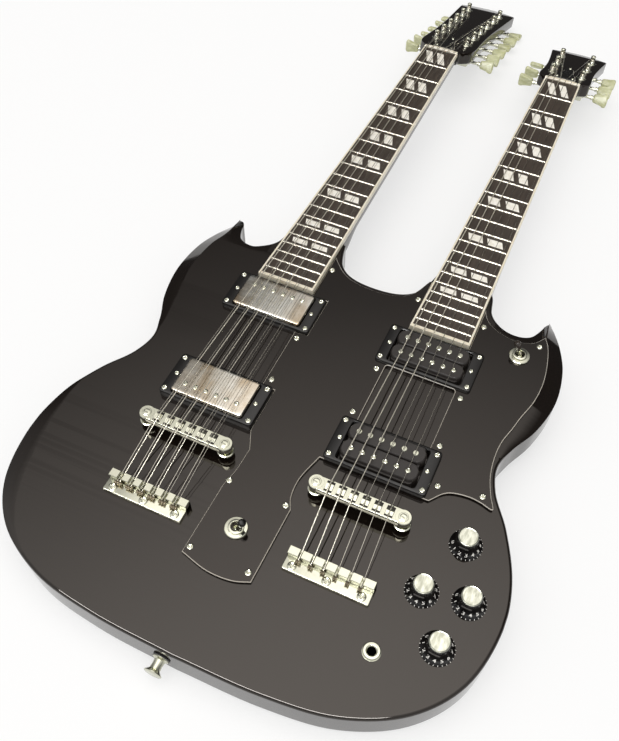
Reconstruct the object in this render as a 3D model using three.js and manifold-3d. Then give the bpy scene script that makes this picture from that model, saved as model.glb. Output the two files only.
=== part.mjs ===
// Double-neck electric guitar: a twelve-string neck and a six-string neck on one double-cutaway body.
// Millimetres. The pieces are placed in the body's own frame (x across, y towards the headstocks,
// z up from the flat back), and the whole guitar is then leaned so that it lies on the butt of
// the body and on the tuner housings of the longer headstock.
import * as THREE from 'three';
import { mergeVertices } from 'three/addons/utils/BufferGeometryUtils.js';
import Module from 'manifold-3d';

const wasm = await Module();
wasm.setup();

// Fits: the gap between pieces that touch, and how far a cutter runs past what it cuts
const gap = 0.3;
const overrun = 2;

// Body
const bodyLength = 419.5;
const bodyHalfWidth = 209.3;
const bodyThickness = 34;
const topRound = 2.4;
const backRound = 2.2;
const hornBevelDrop = 9.5;
const armBevelWidth = 17;
const armBevelDrop = 6;
const shoulderHalfWidth = 27.5;
const bevelReach = 9;

// Necks: both have the same scale and the same angle to the body
const neckSpacing = 155.5;
const pairOffset = -2;
const fretCount = 20;
const neckAngle = THREE.MathUtils.degToRad(1.43);
const shoulderRise = 0.6577;
const boardLength = 442.2;
const boardBeyondFrets = 11.562;
const boardThickness = 6;
const boardNutWidth = 43;
const boardEndWidth = 57.3;
const fretHeight = 1;
const fretWidth = 2.3;
const fretInset = 1.7;
const neckDepthAtNut = 20;
const neckDepthAtTwelfth = 23.5;
const neckEdge = 2.5;
const heelLength = 74.4;
const tenonWidth = 40;
const tenonDepth = 21;
const nutLength = 5;
const nutLift = 2.3;

// Headstocks
const headPitch = THREE.MathUtils.degToRad(15);
const headThickness = 15;
const headStep = 2;
const headVolute = 19;
const head12 = { length: 246, halfWidth: 40.3, posts: 6, first: 42.6, pitch: 33.73, postX: 20.5, spread: 2.5 };
const head6 = { length: 131, halfWidth: 36.5, posts: 3, first: 27, pitch: 36.5, postX: 18.5, spread: 1.3 };
const rodCoverLength = 48;
const rodCoverHalfWidth = 13;
const rodCoverThickness = 1.8;

// Tuners
const postRadius = 3.1;
const postHeight = 10.5;
const postBoreRadius = 4.6;
const postWaist = 0.7;
const stringAtPost = 5.2;
const housingLength = 19;
const housingWidth = 15;
const housingHeight = 9.5;
const stripWidth = 11;
const stripThickness = 1.2;
const wormOffset = 6.5;
const wormDepth = 5.2;
const shaftRadius = 2;
const shaftBeyondEdge = 2.5;
const shaftInHousing = 2.2;
const buttonLength = 17.5;
const buttonInnerWidth = 10.5;
const buttonOuterWidth = 17.5;
const buttonThickness = 6.6;
const buttonEdge = 1.2;
// How far each button was left turned, in degrees, from the nut outwards; the last lie flat over the floor
const buttonTurns = [72, 60, 24, 6, 26, 4];

// Pickguard
const guardThickness = 2.4;
const guardClear = 0.4;
const guardRim = 1.83;
const guardTongue = 12.39;

// Pickups and their rings
const neckPickupFromBoard = 23.738;
const bridgePickupFromBridge = 50.354;
const ringWidth = 89.3;
const ringLength = 44.5;
const ringCorner = 3;
const ringTopNeck = 5.6;
const ringTopBridge = 7.6;
const coverWidth = 68.6;
const coverLength = 37.8;
const coverCorner = 3;
const coverTopNeck = 8.4;
const coverTopBridge = 11;
const coilWidth = 67.5;
const coilLength = 17;
const coilRowGap = 17.4;
const poleTopNeck = 10.8;
const poleTopBridge = 13.8;
const poleRise = 1.1;
const poleRadius = 2.4;
const poleSpacing = 9.94;
const pickupDepth = 9;
const basePlateThickness = 2;
const cavityClear = 1.2;
const cavityDepth = 19;

// Bridges: where they stand, as a share of the body's length, then their own sizes
const bridgeShare = 0.387237;
const bridgeLength = 86;
const bridgeWidth = 12.5;
const bridgeTop = 16.2;
const bridgeBarHeight = 6.2;
const bridgePostSpacing = 73.5;
const bridgePostRadius = 2.6;
const bridgePostTop = 18.4;
const bridgePostSunk = 16;
const thumbwheelRadius = 7.2;
const thumbwheelBottom = 4;
const thumbwheelThickness = 2.6;
const saddleWidth = 6.6;
const saddleLength = 7;
const saddleRise = 1.4;

// Tailpieces
const tailWidth = 71;
const tailFlangeLength = 10.5;
const tailFlangeHeight = 3;
const tailLipLength = 7;
const tailLipHeight = 9;
const tailFromBridge = 53.646;
const tailShift12 = -1.3;
const tailShift6 = 2.2;
const tailSlotWidth = 2.4;
const tailSlotDepth = 4.5;

// Strings
const stringAtSaddle = 18.6;
const stringRise = 8.1;
const stringSpreadNut = 35.6;
const stringSpreadBridge = 51;
const pairSpreadNut = 1.9;
const pairSpreadBridge = 2.5;
const thickString = 0.58;
const thinString = 0.34;

// Controls: where each stands on the top, as shares, then their own sizes
const knobShares = [[0.77879, 0.40167], [0.69279, 0.28486], [0.86001, 0.29917], [0.81223, 0.20143]];
const knobRadius = 13;
const knobHeight = 15.4;
const knobCapRadius = 8.3;
const knobBoreDepth = 8.5;
const potShaftRadius = 3;
const potShaftHeight = 8.2;
const potBushRadius = 4.6;
const potNutRadius = 6;
const potNutHeight = 2.2;
const potBodyRadius = 12;
const potBodyHeight = 9;
const potPlateThickness = 1.6;
const controlTopWall = 7;
const coverRebate = 2.4;
const coverLedge = 4;
const lowerToggleShares = [0.48768, 0.31936];
const upperToggleShares = [0.41278, 0.86150];
const lowerToggleTurn = THREE.MathUtils.degToRad(8);
const upperToggleTurn = THREE.MathUtils.degToRad(153);
const toggleLean = THREE.MathUtils.degToRad(20);
const toggleNutRadius = 9.4;
const toggleNutHeight = 3.4;
const toggleBushRadius = 6;
const toggleThroat = 4.3;
const toggleBallRadius = 3.9;
const toggleLeverRadius = 1.6;
const toggleTipRadius = 3.2;
const toggleTipLength = 9.5;
const toggleLeverLength = 19;
const toggleBodyRadius = 9.5;
const toggleBodyDepth = 19;
const toggleCavityRadius = 11;
const toggleCavityDepth = 22;
const jackShares = [0.61252, 0.14923];
const jackNutRadius = 7.1;
const jackNutHeight = 2.2;
const jackBushRadius = 4.7;
const jackBoreRadius = 3.4;
const jackDepth = 24;

// Strap button on the butt of the body
const strapPlace = -10;
const strapFlangeRadius = 7.2;
const strapStemRadius = 4.1;
const strapLength = 13.2;
const strapSunk = 6;

// Outline of the body's right half from the butt to the waist: shares of half width and length
const boutShares = [
  [0, 0], [0.334, 0.0055], [0.597, 0.027], [0.812, 0.082], [0.946, 0.1645], [1, 0.281],
  [0.979, 0.3695], [0.898, 0.465],
];
// From the waist round the horn to the outer cutaway: x as shares of the room from a neck's side to the
// body's half width, y as shares of the length. The horn's bevels below are in the same shares
const hornShares = [
  [0.6279, 0.5315], [0.5736, 0.586], [0.6319, 0.639], [0.7566, 0.708], [0.833, 0.7985], [0.8009, 0.884],
  [0.7124, 0.946], [0.6419, 0.978], [0.6017, 0.992], [0.5595, 1], [0.5273, 0.99], [0.5112, 0.9745],
  [0.485, 0.9557], [0.4488, 0.9387], [0.3804, 0.9268], [0.2879, 0.9228],
];
// From there up to the shoulder beside a neck: shares of that room, outwards from the neck's side
const shoulderShares = [[0.21091, 0.9285], [0.11497, 0.9454], [0.06687, 0.9626], [0.04757, 0.9795], [0.02537, 1.0033], [0, 1.0167]];
// From a shoulder down into the middle cutaway: shares of the shoulder's half width and of the body length
const middleShares = [[1.08, 1.0167], [1.2, 0.984], [1.37, 0.9564], [1.68, 0.936], [2.1, 0.9245]];
const middleBottomShare = 0.9195;
// Creases and edges of the horn's two bevels, and how deep they cut
const outerCreaseShares = [[0.5575, 0.586], [0.5615, 0.639], [0.6098, 0.708], [0.6782, 0.7985], [0.65, 0.884], [0.5876, 0.93], [0.5534, 0.985]];
const outerEdgeShares = [[0.5736, 0.586], [0.6319, 0.639], [0.7566, 0.708], [0.833, 0.7985], [0.8009, 0.884], [0.7184, 0.935], [0.5595, 1.004]];
const outerDropShares = [0.04, 0.35, 0.75, 1, 1, 1, 1];
const innerCreaseShares = [[0.1149, 0.916], [0.2758, 0.906], [0.4368, 0.911], [0.5414, 0.93], [0.5534, 0.985]];
const innerEdgeShares = [[0.1149, 0.934], [0.2859, 0.9255], [0.4307, 0.945], [0.5011, 0.985], [0.5715, 1.004]];
const innerDropShares = [0.05, 0.25, 0.6, 0.9, 1];
// The arm bevel on the bass side: shares of half width and length along the edge, then of its width
const armShares = [
  [0.93, 0.425, 0.05], [0.979, 0.3695, 0.6], [1, 0.281, 1], [0.946, 0.1645, 1], [0.812, 0.082, 0.5], [0.66, 0.04, 0.05],
];
// The pickguard's right part: x as shares from the board's slot to the body's half width, y from the
// guard's foot to its top, which is a share of the body's length
const guardTopShare = 0.95;
const guardShares = [
  [0, 1], [0.0687, 0.9475], [0.1989, 0.9111], [0.3751, 0.899], [0.4893, 0.9212], [0.5674, 0.9717],
  [0.6154, 0.9232], [0.6615, 0.8263], [0.6815, 0.7212], [0.6615, 0.6141], [0.6054, 0.5131], [0.5774, 0.4505],
  [0.5373, 0.3737], [0.5273, 0.2929], [0.5494, 0.202], [0.6034, 0.1212], [0.6515, 0.0657], [0.5393, 0.0768],
  [0.4392, 0.0798], [0.289, 0.0606], [0.1828, 0],
];
// The lobe round the lower switch: x as shares of the space between the boards, y from its end up to the foot
const lobeEndShare = 0.156;
const guardLobeShares = [
  [0.8171, 1], [0.7505, 0.7926], [0.7634, 0.6555], [0.8085, 0.5753], [0.7999, 0.0468], [0.6645, 0.0084],
  [0.4496, 0], [0.1918, 0.0468], [0.2025, 0.5585], [0.2326, 0.6856], [0.2433, 0.8595],
];
const guardMiddleShares = [[0.1402, 0.951], [0.2842, 0.912], [0.499, 0.904], [0.7139, 0.91], [0.8708, 0.932], [0.9718, 0.985]];
// Control cavity in the back, round the four potentiometers
const controlShares = [
  [0.6, 0.16], [0.84, 0.16], [0.925, 0.235], [0.94, 0.33], [0.885, 0.415], [0.8, 0.45], [0.7, 0.45], [0.6, 0.35],
];
// One side of a headstock from the nut to its top, in shares of half width and length
const head12Shares = [
  [0.54, 0], [0.56, 0.022], [0.7, 0.05], [0.85, 0.09], [0.885, 0.144], [0.86, 0.288], [0.85, 0.404], [0.865, 0.53], [0.93, 0.74], [1, 0.962],
];
const head6Shares = [[0.59, 0], [0.61, 0.025], [0.74, 0.055], [0.86, 0.095], [0.875, 0.15], [0.845, 0.29], [0.845, 0.47], [0.907, 0.7], [1, 0.938]];
// Half outline of a truss-rod cover, in shares of its half width and length
const rodCoverShares = [[1, 0], [1, 0.12], [0.86, 0.3], [0.55, 0.55], [0.45, 0.78], [0.28, 0.95], [0, 1]];

// Places worked out from the sizes
const neck12X = pairOffset - neckSpacing / 2;
const neck6X = pairOffset + neckSpacing / 2;
const bridgeY = bridgeShare * bodyLength;
const scaleLength = (boardLength - boardBeyondFrets) / (1 - 2 ** (-fretCount / 12));
const nutFromButt = bridgeY + scaleLength * Math.cos(neckAngle);
const boardEndY = nutFromButt - boardLength * Math.cos(neckAngle);
const neckPickupY = boardEndY - neckPickupFromBoard;
const bridgePickupY = bridgeY + bridgePickupFromBridge;
const tailLipY = bridgeY - tailFromBridge;
const jointAlong = nutFromButt - bodyLength * shoulderShares.at(-1)[1];
const heelStart = jointAlong - heelLength;
const glueHeight = along => bodyThickness + shoulderRise + (along - jointAlong) * Math.tan(neckAngle);
const sideRoom = bodyHalfWidth - neckSpacing / 2 - shoulderHalfWidth;
const slotHalf = boardEndWidth / 2 + guardClear;
const guardFoot = bridgePickupY - coverLength / 2 - cavityClear - guardRim;
const headHeight = boardThickness - headStep;
const headFrom = nutLength + 2 * gap + headHeight * Math.tan(headPitch);
const wormZ = -headThickness - gap - wormDepth;
const boardWidthAt = along => THREE.MathUtils.lerp(boardNutWidth, boardEndWidth, along / boardLength);
const fretAlong = n => scaleLength * (1 - 2 ** (-n / 12));

// The volume inside a closed indexed geometry, negative where its faces look inwards
function signedVolume(geometry) {
  const [a, b, c] = [0, 0, 0].map(() => new THREE.Vector3());
  const { index, attributes: { position } } = geometry;
  let sum = 0;
  for (let i = 0; i < index.count; i += 3) {
    [a, b, c].forEach((corner, k) => corner.fromBufferAttribute(position, index.getX(i + k)));
    sum += a.dot(b.cross(c)) / 6;
  }
  return sum;
}

// A closed geometry as a solid for joining and cutting, and back
function solid(geometry) {
  const bare = geometry.clone();
  bare.deleteAttribute('normal');
  bare.deleteAttribute('uv');
  const merged = mergeVertices(bare);
  if (signedVolume(merged) < 0) merged.index.array.reverse();
  return new wasm.Manifold(new wasm.Mesh({
    numProp: 3,
    vertProperties: Float32Array.from(merged.attributes.position.array),
    triVerts: Uint32Array.from(merged.index.array),
  }));
}

function geometryOf(manifold) {
  const mesh = manifold.getMesh();
  const geometry = new THREE.BufferGeometry();
  geometry.setAttribute('position', new THREE.BufferAttribute(Float32Array.from(mesh.vertProperties), 3));
  geometry.setIndex(new THREE.BufferAttribute(Uint32Array.from(mesh.triVerts), 1));
  geometry.computeVertexNormals();
  return geometry;
}

const joined = geometries => geometryOf(geometries.map(solid).reduce((a, b) => a.add(b)));

function cutBy(geometry, cutters) {
  return geometryOf(cutters.map(solid).reduce((a, b) => a.subtract(b), solid(geometry)));
}

// Moves a geometry: first its turns about x, y and z, then its place
function placed(geometry, [x, y, z], turn = [0, 0, 0]) {
  const matrix = new THREE.Matrix4().makeRotationFromEuler(new THREE.Euler(...turn));
  matrix.setPosition(x, y, z);
  return geometry.clone().applyMatrix4(matrix);
}

const box = (width, length, height, place) => placed(new THREE.BoxGeometry(width, length, height), place);

// An upright cylinder or cone that stands on z
function post(radius, height, [x, y, z], sides = 12, topRadius = radius) {
  const upright = new THREE.CylinderGeometry(topRadius, radius, height, sides);
  return placed(upright, [x, y, z + height / 2], [Math.PI / 2, 0, 0]);
}

// A turned piece: its profile is a list of radius and height, on the z axis
function turned(profile, sides) {
  const lathe = new THREE.LatheGeometry(profile.map(([r, h]) => new THREE.Vector2(r, h)), sides);
  return geometryOf(solid(lathe.rotateX(Math.PI / 2)));
}

// A flat outline made a plate that stands on z
function plate(points, thickness, z, holes = []) {
  const shape = new THREE.Shape(points.map(([x, y]) => new THREE.Vector2(x, y)));
  shape.holes = holes.map(hole => new THREE.Path(hole.map(([x, y]) => new THREE.Vector2(x, y))));
  return new THREE.ExtrudeGeometry(shape, { depth: thickness, bevelEnabled: false }).translate(0, 0, z);
}

// A rectangle with round corners, as points
function roundRect(width, length, corner, [cx, cy], steps = 2) {
  const points = [];
  for (let quarter = 0; quarter < 4; quarter++) {
    const sx = quarter === 0 || quarter === 3 ? 1 : -1;
    const sy = quarter < 2 ? 1 : -1;
    for (let i = 0; i <= steps; i++) {
      const angle = (quarter + i / steps) * Math.PI / 2;
      points.push([
        cx + sx * (width / 2 - corner) + corner * Math.cos(angle),
        cy + sy * (length / 2 - corner) + corner * Math.sin(angle),
      ]);
    }
  }
  return points;
}

// A skin over rings with the same number of points, closed at each end: by the flat outline that
// capPlane gives where the rings are hollow in places, and otherwise by a fan
function skin(rings, capPlane) {
  const count = rings[0].length;
  const indices = [];
  for (let ring = 0; ring < rings.length - 1; ring++) {
    for (let i = 0; i < count; i++) {
      const a = ring * count + i;
      const b = ring * count + (i + 1) % count;
      indices.push(a, b, b + count, a, b + count, a + count);
    }
  }
  const fan = rings[0].slice(2).map((point, i) => [0, i + 1, i + 2]);
  const capOf = ring => (capPlane ? THREE.ShapeUtils.triangulateShape(ring.map(capPlane), []) : fan);
  const last = (rings.length - 1) * count;
  for (const [a, b, c] of capOf(rings[0])) indices.push(a, c, b);
  for (const [a, b, c] of capOf(rings.at(-1))) indices.push(last + a, last + b, last + c);
  const geometry = new THREE.BufferGeometry().setFromPoints(rings.flat());
  geometry.setIndex(indices);
  return geometry;
}

// A smooth open curve through hand-chosen points, as points
function smooth(points, stepsEach) {
  const curve = new THREE.CatmullRomCurve3(points.map(([x, y]) => new THREE.Vector3(x, y, 0)));
  return curve.getPoints((points.length - 1) * stepsEach).map(p => [p.x, p.y]);
}

const ofBody = ([x, y]) => [x * bodyHalfWidth, y * bodyLength];
const ofHorn = ([x, y]) => [bodyHalfWidth - (1 - x) * sideRoom, y * bodyLength];
const ofGuard = ([x, y]) => [
  THREE.MathUtils.lerp(neck6X + slotHalf, bodyHalfWidth, x),
  THREE.MathUtils.lerp(guardFoot, guardTopShare * bodyLength, y),
];
const betweenBoards = share => THREE.MathUtils.lerp(neck12X + slotHalf, neck6X - slotHalf, share);
const ofLobe = ([x, y]) => [betweenBoards(x), THREE.MathUtils.lerp(lobeEndShare * bodyLength, guardFoot, y)];
const knobPlaces = knobShares.map(ofBody);
const lowerTogglePlace = ofLobe(lowerToggleShares);
const upperTogglePlace = ofHorn(upperToggleShares);
const jackPlace = ofBody(jackShares);
const mirrored = points => points.map(([x, ...rest]) => [-x, ...rest]).reverse();
const besideNeck = (neckX, side) => ([x, y]) => [neckX + side * x * shoulderHalfWidth, y * bodyLength];
const besideShoulder = (neckX, side) => ([x, y]) => [neckX + side * (shoulderHalfWidth + x * sideRoom), y * bodyLength];

function bodyOutline() {
  const outer = [...boutShares.map(ofBody), ...hornShares.map(ofHorn)];
  const right = [...outer, ...shoulderShares.map(besideShoulder(neck6X, 1))];
  const left = [...outer.map(([x, y]) => [-x, y]), ...shoulderShares.map(besideShoulder(neck12X, -1))];
  const middle = [
    ...middleShares.map(besideNeck(neck6X, -1)),
    [pairOffset, middleBottomShare * bodyLength],
    ...middleShares.map(besideNeck(neck12X, 1)).reverse(),
  ];
  return [...smooth(right, 2), ...smooth(middle, 3), ...smooth(left, 2).reverse().slice(0, -1)];
}

// Moves each point of a closed outline inwards by one distance, with mitred corners
function inset(points, distance) {
  return points.map(([x, y], i) => {
    const [px, py] = points[(i + points.length - 1) % points.length];
    const [nx, ny] = points[(i + 1) % points.length];
    const before = new THREE.Vector2(x - px, y - py).normalize();
    const after = new THREE.Vector2(nx - x, ny - y).normalize();
    const normal = new THREE.Vector2(-(before.y + after.y), before.x + after.x).normalize();
    const mitre = Math.max(-before.y * normal.x + before.x * normal.y, Math.SQRT1_2);
    return [x + normal.x * distance / mitre, y + normal.y * distance / mitre];
  });
}

// A bevel's cutter: a sloped face ruled from a crease on the top down to the edge, with all above it
function bevelCutter(crease, edge, drops, side) {
  const rings = crease.map(([cx, cy], i) => {
    const [ex, ey] = edge[i];
    const run = Math.hypot(ex - cx, ey - cy);
    const [ux, uy] = [(ex - cx) / run, (ey - cy) / run];
    const slope = drops[i] / run;
    const at = (out, z) => new THREE.Vector3(side * (cx + ux * out), cy + uy * out, z);
    return [
      at(-overrun, bodyThickness + slope * overrun),
      at(run + bevelReach, bodyThickness - slope * (run + bevelReach)),
      at(run + bevelReach, bodyThickness + 2 * bevelReach),
      at(-overrun, bodyThickness + 2 * bevelReach),
    ];
  });
  return skin(rings);
}

function hornCutters(side) {
  const lists = [
    [outerCreaseShares, outerEdgeShares, outerDropShares],
    [innerCreaseShares, innerEdgeShares, innerDropShares],
  ];
  return lists.map(([crease, edge, drops]) => {
    const lines = [crease, edge].map(list => smooth(list.map(ofHorn), 6));
    const depths = smooth(drops.map((drop, i) => [i, drop]), 6).map(([, drop]) => drop * hornBevelDrop);
    return bevelCutter(...lines, depths, side);
  });
}

function armCutter() {
  const line = smooth(armShares.map(ofBody), 6);
  const widths = smooth(armShares.map((row, i) => [i, row[2]]), 6).map(([, share]) => Math.max(share, 0.05));
  const crease = line.map(([x, y], i) => {
    const [px, py] = line[Math.max(i - 1, 0)];
    const [nx, ny] = line[Math.min(i + 1, line.length - 1)];
    const along = new THREE.Vector2(nx - px, ny - py).normalize();
    const width = widths[i] * armBevelWidth;
    return [x + along.y * width, y - along.x * width];
  });
  return bevelCutter(crease, line, widths.map(width => width * armBevelDrop), -1);
}

const place12 = y => [neck12X, y];
const place6 = y => [neck6X, y];

function pickupCavity(centre) {
  const outline = roundRect(coverWidth + 2 * cavityClear, coverLength + 2 * cavityClear, coverCorner, centre, 1);
  return plate(outline, cavityDepth + overrun, bodyThickness - cavityDepth);
}

// A neck's own frame: its origin on the glue line at the nut, y along the neck, z out of the board
function neckMatrix(neckX) {
  const matrix = new THREE.Matrix4().makeRotationX(-neckAngle);
  return matrix.setPosition(neckX, nutFromButt, glueHeight(0));
}

function tenon(clear) {
  const length = boardLength - jointAlong + headVolute;
  const middle = -(boardLength - gap + clear + jointAlong - headVolute) / 2;
  return box(tenonWidth + 2 * clear, length + clear, tenonDepth + clear, [0, middle, -gap - (tenonDepth + clear) / 2]);
}

function mortise(neckX) {
  const lifted = tenon(gap).applyMatrix4(neckMatrix(neckX));
  const above = tenon(gap).translate(0, 0, tenonDepth / 2).applyMatrix4(neckMatrix(neckX));
  return [lifted, above];
}

function bodyGeometry() {
  const outline = bodyOutline();
  const levels = [
    [backRound, 0], [0, backRound],
    [0, bodyThickness - topRound], [topRound * 0.3, bodyThickness - topRound * 0.3], [topRound, bodyThickness],
  ];
  const rings = levels.map(([distance, z]) => inset(outline, distance).map(([x, y]) => new THREE.Vector3(x, y, z)));
  const block = skin(rings, p => new THREE.Vector2(p.x, p.y));
  const ledge = inset(controlShares.map(ofBody), -coverLedge);
  const cutters = [
    ...hornCutters(1), ...hornCutters(-1), armCutter(),
    ...mortise(neck12X), ...mortise(neck6X),
    ...[place12, place6].flatMap(at => [pickupCavity(at(neckPickupY)), pickupCavity(at(bridgePickupY))]),
    plate(controlShares.map(ofBody), bodyThickness - controlTopWall + overrun, -overrun),
    plate(ledge, coverRebate + overrun, -overrun),
    ...knobPlaces.map(([x, y]) => post(potBushRadius + gap, bodyThickness, [x, y, overrun])),
    ...[lowerTogglePlace, upperTogglePlace].map(([x, y]) =>
      post(toggleCavityRadius, toggleCavityDepth + overrun, [x, y, bodyThickness - toggleCavityDepth])),
    post(jackBushRadius + gap, jackDepth + overrun, [...jackPlace, bodyThickness - jackDepth]),
    ...[neck12X, neck6X].flatMap(x => [-1, 1].map(side => post(
      bridgePostRadius + gap, bridgePostSunk + overrun,
      [x + side * bridgePostSpacing / 2, bridgeY, bodyThickness - bridgePostSunk - gap], 12))),
    placed(post(strapStemRadius / 2 + gap, strapSunk + overrun, [0, 0, -overrun], 12),
      [strapPlace, 0, bodyThickness / 2], [-Math.PI / 2, 0, 0]),
  ];
  return cutBy(block, cutters);
}

// The neck from the heel to the headstock, with its tenon, as rings of a rounded D
function neckRing(along, halfWidth, top, depth) {
  const points = [];
  const steps = 10;
  for (let i = 0; i <= steps; i++) {
    const angle = i / steps * Math.PI;
    const x = halfWidth * Math.cos(angle);
    points.push(new THREE.Vector3(x, -along, top - neckEdge - (depth - neckEdge) * Math.sin(angle) ** 0.8));
  }
  points.push(new THREE.Vector3(-halfWidth, -along, top), new THREE.Vector3(halfWidth, -along, top));
  return points;
}

function headOutline(head, shares) {
  const side = shares.map(([x, y]) => [x * head.halfWidth, y * head.length]);
  const crown = new THREE.QuadraticBezierCurve(
    new THREE.Vector2(...side.at(-1)),
    new THREE.Vector2(0, head.length * 2 - side.at(-1)[1]),
    new THREE.Vector2(-side.at(-1)[0], side.at(-1)[1]));
  const top = crown.getPoints(8).slice(1, -1).map(p => [p.x, p.y]);
  return [...side, ...top, ...mirrored(side)];
}

// Where each tuning post stands on a headstock, from the nut outwards
function postPlaces(head, side) {
  const places = [];
  for (let i = 0; i < head.posts; i++) {
    const x = side * (head.postX + head.spread * i / (head.posts - 1));
    places.push([x, head.first + head.pitch * i]);
  }
  return places;
}

const headMatrix = new THREE.Matrix4().makeRotationX(-headPitch).setPosition(0, headFrom, headHeight);

function neckGeometry(head, shares) {
  const half = along => boardWidthAt(along) / 2 - gap;
  const heelDepth = glueHeight(jointAlong) - 2 * gap;
  const shaft = skin([
    neckRing(jointAlong - 4 * gap, half(jointAlong), -gap, heelDepth),
    neckRing((2 * jointAlong + heelStart) / 3, half(jointAlong), -gap, heelDepth * 0.93),
    neckRing((jointAlong + heelStart) / 2, half(jointAlong), -gap, (heelDepth + neckDepthAtTwelfth) / 2),
    neckRing(heelStart, half(heelStart), -gap, neckDepthAtTwelfth),
    neckRing(heelStart / 2, half(heelStart / 2), -gap, (neckDepthAtNut + neckDepthAtTwelfth) / 2),
    neckRing(0, half(0), -gap, neckDepthAtNut),
    neckRing(-headFrom, half(0), -gap, neckDepthAtNut),
    neckRing(-headVolute, half(0), -gap - headVolute * Math.sin(headPitch) + overrun, headThickness + overrun),
  ]);
  const blade = plate(headOutline(head, shares), headThickness, -headThickness).applyMatrix4(headMatrix);
  const half12 = rodCoverShares.map(([x, y]) => [x * rodCoverHalfWidth, y * rodCoverLength]);
  const cover = plate([...half12, ...mirrored(half12).slice(1)], rodCoverThickness + overrun, -overrun);
  const bores = [-1, 1].flatMap(side => postPlaces(head, side)).map(([x, y]) =>
    post(postBoreRadius, headThickness + 2 * overrun, [x, y, -headThickness - overrun], 8).applyMatrix4(headMatrix));
  const whole = joined([shaft, tenon(0), blade, cover.translate(0, nutLength, 0).applyMatrix4(headMatrix)]);
  return cutBy(whole, bores);
}

function boardGeometry() {
  const halfAt = along => boardWidthAt(along) / 2;
  const outline = [
    [-halfAt(boardLength), -boardLength], [halfAt(boardLength), -boardLength], [halfAt(0), 0], [-halfAt(0), 0],
  ];
  const frets = [];
  for (let n = 1; n <= fretCount; n++) {
    const width = boardWidthAt(fretAlong(n)) - 2 * fretInset;
    const sunk = fretHeight;
    frets.push(box(width, fretWidth, fretHeight + sunk, [0, -fretAlong(n), boardThickness + (fretHeight - sunk) / 2]));
  }
  return joined([plate(outline, boardThickness, 0), ...frets]);
}

// The pickguard: one sheet with a slot for the six-string board and windows for its pickups
function guardGeometry() {
  const ringEdge = neck12X + ringWidth / 2 + guardClear;
  const between = ringEdge - guardTongue;
  const ringHalf = ringLength / 2 + guardClear;
  const openHalf = coverWidth / 2 + cavityClear;
  const beside12 = neck12X + slotHalf;
  const outline = [
    ...smooth(guardShares.slice(0, 6).map(ofGuard), 2),
    ...smooth(guardShares.slice(5).map(ofGuard), 2).slice(1),
    ...smooth(guardLobeShares.slice(0, 4).map(ofLobe), 2),
    ...smooth(guardLobeShares.slice(4, 8).map(ofLobe), 2),
    ...smooth(guardLobeShares.slice(8).map(ofLobe), 2),
    [ringEdge, bridgePickupY - ringHalf],
    [ringEdge, bridgePickupY + ringHalf],
    [between, bridgePickupY + ringHalf + guardClear],
    [between, neckPickupY - ringHalf - guardClear],
    [ringEdge, neckPickupY - ringHalf],
    [ringEdge, neckPickupY + ringHalf],
    [beside12, neckPickupY + ringHalf + guardClear],
    [beside12, guardMiddleShares[0][1] * bodyLength + guardClear],
    ...smooth(guardMiddleShares.map(([x, y]) => [betweenBoards(x), y * bodyLength]), 3),
    [neck6X - slotHalf, guardMiddleShares.at(-1)[1] * bodyLength + guardClear],
    [neck6X - slotHalf, boardEndY - guardClear],
    [neck6X - openHalf, boardEndY - guardClear],
    [neck6X - openHalf, neckPickupY - coverLength / 2 - cavityClear],
    [neck6X + openHalf, neckPickupY - coverLength / 2 - cavityClear],
    [neck6X + openHalf, boardEndY - guardClear],
    [neck6X + slotHalf, boardEndY - guardClear],
  ];
  const windowTop = neckPickupY - ringHalf;
  const windowBottom = bridgePickupY + ringHalf;
  const windowWidth = 2 * openHalf - 2 * cavityClear - ringCorner;
  const holes = [
    roundRect(2 * openHalf, coverLength + 2 * cavityClear, ringCorner, place6(bridgePickupY), 1),
    roundRect(windowWidth, windowTop - windowBottom, ringCorner, place6((windowTop + windowBottom) / 2), 2),
  ];
  const sheet = plate(outline.reverse(), guardThickness, bodyThickness + gap, holes.map(hole => hole.reverse()));
  return cutBy(sheet, [lowerTogglePlace, upperTogglePlace].map(([x, y]) =>
    post(toggleBushRadius + gap, guardThickness + 2 * overrun, [x, y, bodyThickness - overrun])));
}

function ringGeometry(centre, bottom, top) {
  const outer = roundRect(ringWidth, ringLength, ringCorner, centre);
  const inner = roundRect(coverWidth + 2 * gap, coverLength + 2 * gap, coverCorner, centre);
  return plate(outer, top - bottom, bodyThickness + bottom, [inner.reverse()]);
}

// A pickup with its metal cover: the cover, and the wider base plate below the ring
function coveredPickup(centre, top) {
  const [x, y] = centre;
  const cover = plate(roundRect(coverWidth, coverLength, coverCorner, centre), top + pickupDepth, bodyThickness - pickupDepth);
  const poles = [];
  for (let i = 0; i < 6; i++) {
    poles.push(post(poleRadius, poleRise, [x + (i - 2.5) * poleSpacing, y + coilRowGap / 2, bodyThickness + top - gap], 6));
  }
  return joined([cover, ...poles]);
}

// A pickup with open coils: two bobbins and their poles on one base plate
function openPickup(centre, top) {
  const [x, y] = centre;
  const pieces = [plate(roundRect(coverWidth - overrun, coverLength - overrun, coverCorner, centre),
    basePlateThickness + pickupDepth - overrun, bodyThickness - pickupDepth)];
  for (const row of [-1, 1]) {
    const at = [x, y + row * coilRowGap / 2];
    const bobbin = roundRect(coilWidth, coilLength, coilLength / 2 - gap, at, 3);
    pieces.push(plate(bobbin, top - poleRise + pickupDepth - basePlateThickness, bodyThickness - pickupDepth + basePlateThickness / 2));
    for (let i = 0; i < 6; i++) {
      pieces.push(post(poleRadius, 2 * poleRise, [x + (i - 2.5) * poleSpacing, at[1], bodyThickness + top - 2 * poleRise], 6));
    }
  }
  return joined(pieces);
}

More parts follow.
